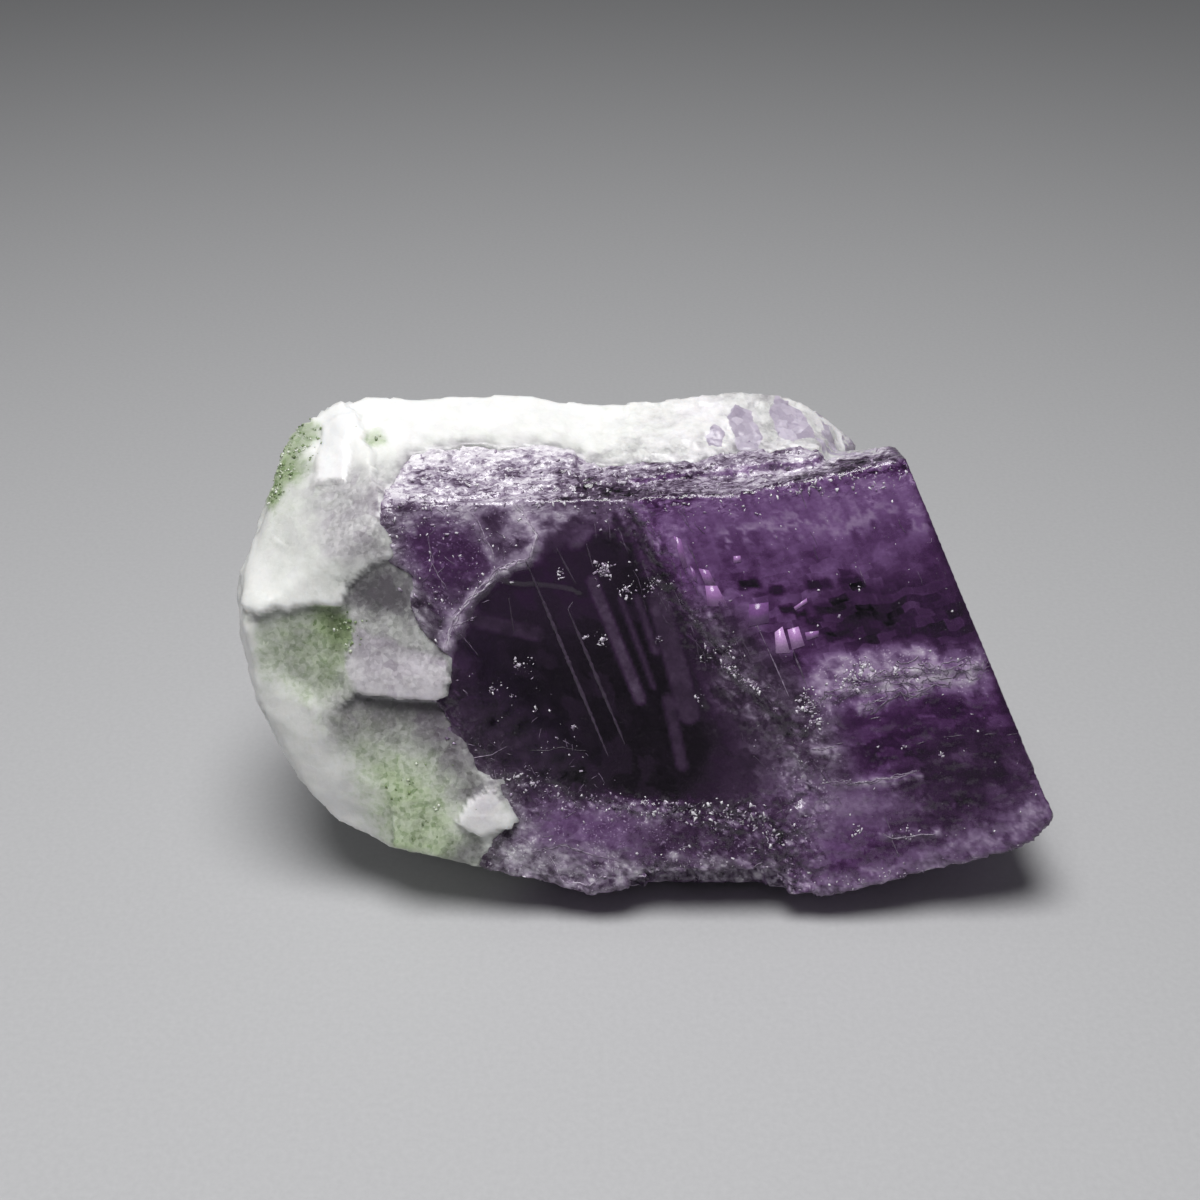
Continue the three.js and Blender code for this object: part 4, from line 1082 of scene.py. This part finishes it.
class Nodes:
    """Short names for the shader nodes used here."""

    def __init__(self, name):
        self.material = bpy.data.materials.new(name)
        self.material.use_nodes = True
        self.tree = self.material.node_tree
        self.shader = self.tree.nodes["Principled BSDF"]
        self.output = self.tree.nodes["Material Output"]
        self.where = self.tree.nodes.new("ShaderNodeTexCoord").outputs["Object"]

    def link(self, source, socket):
        if hasattr(source, "is_output"):
            self.tree.links.new(source, socket)
        else:
            socket.default_value = source

    def node(self, kind, output, inputs, **settings):
        """A new node's output. The inputs, by name or number, are values or other nodes' outputs."""
        node = self.tree.nodes.new("ShaderNode" + kind)
        for name, value in settings.items():
            setattr(node, name, value)
        for name, value in inputs.items():
            self.link(value, node.inputs[name])
        return node.outputs[output]

    def math(self, operation, a, b=0.0):
        return self.node("Math", 0, {0: a, 1: b}, operation=operation)

    def add(self, a, b):
        return self.math("ADD", a, b)

    def times(self, a, b):
        return self.math("MULTIPLY", a, b)

    def vary(self, value, pattern, amount):
        """The value moved up and down by a pattern in 0..1."""
        return self.add(value, self.times(self.add(pattern, -0.5), amount))

    def line(self, value, low, high, to_low=0.0, to_high=1.0, bend="LINEAR"):
        inputs = {"Value": value, "From Min": low, "From Max": high, "To Min": to_low, "To Max": to_high}
        return self.node("MapRange", "Result", inputs, interpolation_type=bend)

    def ramp(self, *values):
        return self.line(*values, bend="SMOOTHSTEP")

    def curve(self, value, stops):
        """A colour for each value, straight between the stops."""
        colours = self.node("ValToRGB", "Color", {"Fac": value})
        ramp = colours.node.color_ramp
        for _ in stops[2:]:
            ramp.elements.new(0.5)
        for element, (where, shade) in zip(ramp.elements, stops):
            element.position = where
            element.color = (*shade, 1.0)
        return colours

    def attribute(self, name):
        return self.node("Attribute", "Fac", {}, attribute_name=name)

    def stretched(self, along, squeeze, where=None):
        """Coordinates turned to the growth lines, and squeezed along them."""
        turn = Vector((0, 0, 1)).rotation_difference(Vector(along)).to_euler()
        inputs = {"Rotation": turn, "Scale": (1, 1, squeeze), "Vector": where or self.where}
        return self.node("Mapping", "Vector", inputs, vector_type="TEXTURE")

    def noise(self, size, detail=4.0, rough=0.55, where=None, output="Fac"):
        return self.node("TexNoise", output, {"Scale": 1 / (size * MM), "Detail": detail, "Roughness": rough,
                                              "Vector": where or self.where})

    def vector(self, operation, a, b):
        output = "Value" if operation == "DOT_PRODUCT" else "Vector"
        second = "Scale" if operation == "SCALE" else 1
        return self.node("VectorMath", output, {0: a, second: b}, operation=operation)

    def facets(self, size, where=None):
        """Uneven cells: a shade for each, and a height that tilts each its own way."""
        where, scale = where or self.where, 1 / (size * MM)
        shade = self.node("TexVoronoi", "Color", {"Scale": scale, "Vector": where})
        local = self.vector("SCALE", self.vector("SUBTRACT", where, shade.node.outputs["Position"]), scale)
        return shade, self.vector("DOT_PRODUCT", local, self.vector("SUBTRACT", shade, (0.5, 0.5, 0.5)))

    def bent(self, size, amount, detail):
        """Coordinates moved about by noise."""
        stray = self.noise(size, detail, output="Color")
        return self.vector("ADD", self.where, self.vector("SCALE", stray, amount * MM))

    def bricks(self, across, down):
        """Blocks between the growth lines: a number for each, and how near its seam."""
        where = self.bent(1.6, 1.2, 1)
        a = self.times(self.vector("DOT_PRODUCT", where, tuple(ACROSS_STEEP)), 1 / (across * MM))
        b = self.times(self.vector("DOT_PRODUCT", where, tuple(ACROSS_LEVEL)), 1 / (down * MM))
        row = self.math("FLOOR", b)
        a = self.add(a, self.times(row, ROW_SHIFT))
        cell = self.node("CombineXYZ", 0, {0: self.math("FLOOR", a), 1: row})
        off = [self.math("ABSOLUTE", self.add(self.math("FRACT", value), -0.5)) for value in (a, b)]
        number = self.node("TexWhiteNoise", "Value", {"Vector": cell})
        return number, self.ramp(self.math("MAXIMUM", *off), 0.38, 0.5)

    def mix(self, share, a, b):
        return self.node("Mix", 2, {0: share, 6: a, 7: b}, data_type="RGBA")

    def blend(self, share, a, b):
        return self.node("Mix", 0, {0: share, 2: a, 3: b}, data_type="FLOAT")

    def bump(self, height, distance, strength=1.0, under=None):
        inputs = {"Strength": strength, "Distance": distance * MM, "Height": height}
        if under is not None:
            inputs["Normal"] = under
        return self.node("Bump", "Normal", inputs)

    def set(self, **values):
        for name, value in values.items():
            self.link(value, self.shader.inputs[name.replace("_", " ")])


def colour(red, green, blue):
    return (red, green, blue, 1.0)


def crystal_material():
    n = Nodes("purple_scapolite")
    wavy = n.bent(0.5, 0.35, 2)
    fine = n.noise(0.26, 4, 0.7, n.stretched(LEVEL, 1.8, wavy))
    steep = n.noise(0.30, 3, 0.6, n.stretched(STEEP, 12))
    small, small_tilt = n.facets(0.24)
    large, large_tilt = n.facets(0.65, n.stretched(LEVEL, 1.8))
    block, seam = n.bricks(1.1, 0.55)
    raw, broken, violet = n.attribute("milk"), n.attribute("broken"), n.attribute("violet")
    lit = n.ramp(raw, 0.0, 0.3, 0.15, 1.0)
    for pattern, sound, shattered in ((fine, 0.12, 0.30), (small, 0.04, 0.24), (large, 0.05, 0.20)):
        raw = n.vary(raw, pattern, n.times(n.blend(broken, sound, shattered), lit))
    raw = n.vary(raw, steep, n.ramp(raw, 0.0, 0.3, 0.02, 0.05))
    raw = n.add(raw, n.times(n.attribute("blocky"), n.vary(n.times(seam, 0.03), block, 0.16)))
    specks = n.times(n.ramp(n.noise(0.17, 2, 0.5), 0.56, 0.72), n.ramp(n.noise(1.0, 1, 0.5), 0.42, 0.60))
    raw = n.add(raw, n.times(n.times(specks, n.attribute("specks")), 0.6))
    slivers = [n.line(n.facets(size, n.stretched(LEVEL, squeeze, wavy))[0], 0.2, 0.8)
               for size, squeeze in ((0.13, 2.6), (0.36, 2.8))]
    silver = n.add(n.vary(n.times(n.add(*slivers), 0.31), fine, 0.45), n.attribute("crust"))
    raw = n.blend(n.attribute("flaky"), raw, n.add(silver, -0.12))
    strong = n.curve(raw, [(0.0, (0.30, 0.17, 0.36)), (0.10, (0.18, 0.055, 0.24)), (0.2, (0.20, 0.065, 0.26)),
                           (0.4, (0.30, 0.145, 0.39)), (0.6, (0.43, 0.28, 0.51)), (0.8, (0.69, 0.54, 0.75)),
                           (1.0, (0.92, 0.80, 0.94))])
    faint = n.curve(raw, [(0.0, (0.28, 0.24, 0.30)), (0.10, (0.15, 0.105, 0.17)), (0.2, (0.15, 0.105, 0.17)),
                          (0.4, (0.25, 0.21, 0.27)), (0.6, (0.41, 0.37, 0.44)), (0.8, (0.67, 0.64, 0.69)),
                          (1.0, (0.93, 0.91, 0.94))])
    wide = n.bump(n.times(large_tilt, n.blend(broken, 0.03, 1.0)), 0.3, 0.6)
    close = n.times(n.add(small_tilt, n.times(fine, 0.2)), n.blend(broken, 0.03, 1.0))
    n.set(Base_Color=n.mix(violet, faint, strong), Transmission_Weight=n.line(raw, 0.0, 0.6, 0.99, 0.05),
          Roughness=n.blend(broken, 0.06, 0.2), Normal=n.bump(close, 0.18, 0.8, wide), IOR=CRYSTAL_IOR)
    volume = n.tree.nodes.new("ShaderNodeVolumeAbsorption")
    volume.inputs["Color"].default_value = LETS_THROUGH
    volume.inputs["Density"].default_value = ABSORPTION / MM
    n.tree.links.new(volume.outputs[0], n.output.inputs["Volume"])
    return n.material


def matrix_material():
    n = Nodes("pale_matrix")
    fine = n.noise(0.35, 5, 0.65)
    medium = n.noise(1.4, 5, 0.6)
    sugar, sugar_tilt = n.facets(0.30)
    lump, lump_tilt = n.facets(0.8)
    grain = n.attribute("grain")
    clear = n.vary(n.attribute("clear"), fine, n.blend(grain, 0.14, 0.45))
    for pattern, waxy, in_white, in_grey in ((sugar, 0.4, 0.06, 0.22), (lump, 0.2, 0.05, 0.16)):
        amount = n.ramp(clear, 0.05, 0.5, in_white, in_grey)
        clear = n.vary(clear, pattern, n.times(n.blend(grain, waxy, 1.0), amount))
    body = n.curve(clear, [(0.0, (0.95, 0.95, 0.93)), (0.3, (0.74, 0.75, 0.72)), (0.6, (0.42, 0.43, 0.41)),
                           (0.85, (0.22, 0.22, 0.22)), (1.0, (0.13, 0.13, 0.13))])
    lilac = n.line(n.vary(n.attribute("lilac"), lump, 0.3), 0.0, 1.0, 0.0, 0.8)
    body = n.mix(lilac, body, n.mix(clear, colour(0.80, 0.72, 0.84), colour(0.26, 0.19, 0.28)))
    patch = n.ramp(n.vary(n.attribute("patch"), sugar, 0.3), 0.35, 0.6)
    body = n.mix(patch, body, n.mix(lump, colour(0.38, 0.33, 0.42), colour(0.62, 0.57, 0.66)))
    spread = n.ramp(n.vary(n.vary(n.attribute("green"), medium, 0.5), fine, 0.35), 0.05, 1.0)
    body = n.mix(spread, body, n.vector("MULTIPLY", body, (0.70, 0.86, 0.50)))
    spots = n.times(spread, n.ramp(sugar, 0.5, 0.8))
    body = n.mix(spots, body, n.vector("MULTIPLY", body, (0.70, 0.80, 0.62)))
    # Painted shade: dark grey in the cleft under the middle plate.
    grey = n.ramp(n.vary(n.attribute("grey"), fine, 0.8), 0.25, 1.0)
    body = n.mix(grey, body, n.mix(sugar, colour(0.13, 0.13, 0.13), colour(0.36, 0.34, 0.37)))
    wide = n.bump(n.times(lump_tilt, n.blend(grain, 0.1, 0.6)), 0.16, 0.6)
    close = n.times(n.add(n.times(fine, 0.2), sugar_tilt), n.blend(grain, 0.35, 1.0))
    n.set(Base_Color=body, Roughness=n.blend(fine, 0.22, 0.42), Normal=n.bump(close, 0.05, 0.7, wide),
          IOR=MATRIX_IOR, Subsurface_Weight=1.0, Subsurface_Scale=0.5 * MM,
          Subsurface_Radius=(1.0, 0.95, 0.9))
    return n.material


def flake_material(name, shades, roughness):
    n = Nodes(name)
    fine = n.noise(0.12, 3, 0.6)
    n.set(Base_Color=n.curve(n.vary(n.attribute("tone"), fine, 0.25), shades), IOR=FLAKE_IOR,
          Roughness=n.blend(fine, roughness * 0.6, roughness * 1.4), Normal=n.bump(fine, 0.02, 0.5))
    return n.material


def floor_material():
    n = Nodes("pale_floor")
    speck = n.noise(0.4, 3, 0.6)
    n.set(Base_Color=n.mix(speck, colour(0.47, 0.47, 0.48), colour(0.56, 0.56, 0.57)), Roughness=0.6)
    return n.material


# ---------------------------------------------------------------- the pieces


def finish_piece(piece, material):
    piece.data.materials.append(material)
    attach(piece, "root")
    return piece


def grow(name, voxel, side, overlap, cut, relief, look, material):
    """One of the two large pieces: cut from the CAD stone, carved, toned and given its material."""
    piece = Block(voxel, side, overlap).solid(name, cut)
    carve(piece, relief)
    look(piece)
    piece.data.shade_smooth()
    finish_piece(piece, material)
    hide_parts(NODE)
    return piece


def grow_small_pieces(crystal, matrix):
    face, body = Skin(crystal), Skin(matrix)
    lilac = [(0.0, (0.03, 0.012, 0.04)), (0.5, (0.20, 0.085, 0.26)), (0.8, (0.48, 0.25, 0.56)),
             (1.0, (0.80, 0.58, 0.86))]
    pale = [(0.0, (0.014, 0.008, 0.016)), (0.3, (0.095, 0.065, 0.11)), (0.6, (0.36, 0.28, 0.40)),
            (1.0, (0.93, 0.90, 0.95))]
    green = [(0.0, (0.10, 0.15, 0.06)), (0.4, (0.24, 0.33, 0.15)), (0.7, (0.50, 0.57, 0.40)),
             (1.0, (0.88, 0.90, 0.84))]
    return [finish_piece(make(skin), flake_material(name, shades, roughness))
            for make, skin, slot, name, shades, roughness in (
                (hair_cracks, face, "purple_crystal", "pale_cracks", pale, 0.3),
                (sparkles, face, "purple_crystal", "bright_flakes", pale, 0.15),
                (growth_lines, face, "purple_crystal", "growth_veils", pale, 0.4),
                # The cleavage plates' brightness is a painted reflection.
                (painted_glint_plates, face, "purple_crystal", "painted_glint_plates", lilac, 0.2),
                (green_grains, body, "green_grains", "green_grains", green, 0.3))]


def lay_floor():
    mesh = bpy.data.meshes.new("floor")
    half = 1.5
    square = [(-half, -half, 0), (half, -half, 0), (half, half, 0), (-half, half, 0)]
    mesh.from_pydata(square, [], [(0, 1, 2, 3)])
    floor = bpy.data.objects.new("floor", mesh)
    bpy.context.scene.collection.objects.link(floor)
    floor.data.materials.append(floor_material())


def light_scene():
    middle = place(0.5, 0.5, 0.5)
    data = bpy.data.lights.new("softbox", "AREA")
    data.shape = "DISK"
    data.size = SOFTBOX_ACROSS
    data.energy = SOFTBOX_WATTS
    softbox = bpy.data.objects.new("softbox", data)
    softbox.location = middle + SOFTBOX_PLACE
    softbox.rotation_euler = (Vector(middle) - softbox.location).to_track_quat("-Z", "Y").to_euler()
    bpy.context.scene.collection.objects.link(softbox)
    world = bpy.data.worlds.new("studio")
    world.use_nodes = True
    background = world.node_tree.nodes["Background"].inputs
    background["Color"].default_value = (0.95, 0.97, 1.0, 1)
    background["Strength"].default_value = ROOM_LIGHT
    bpy.context.scene.world = world
    bpy.context.scene.view_settings.view_transform = "Standard"


def set_camera():
    aim = place(0.446, 0.763, 0.405)
    back = np.array([0, -math.cos(CAMERA_HEIGHT), math.sin(CAMERA_HEIGHT)])
    data = bpy.data.cameras.new("camera")
    data.lens = 54
    data.sensor_width = 36
    data.clip_start = 0.005
    camera = bpy.data.objects.new("camera", data)
    camera.location = aim + back * CAMERA_AWAY * SPAN[0]
    camera.rotation_euler = Vector(-back).to_track_quat("-Z", "Y").to_euler()
    bpy.context.scene.collection.objects.link(camera)
    bpy.context.scene.camera = camera


set_camera()
light_scene()
lay_floor()
pieces = [grow("purple_crystal", CRYSTAL_VOXEL, -1, OVERLAP, undercut, crystal_relief, crystal_look,
               crystal_material()),
          grow("pale_matrix", MATRIX_VOXEL, 1, 0.0, None, matrix_relief, matrix_look, matrix_material())]
pieces += grow_small_pieces(*pieces)
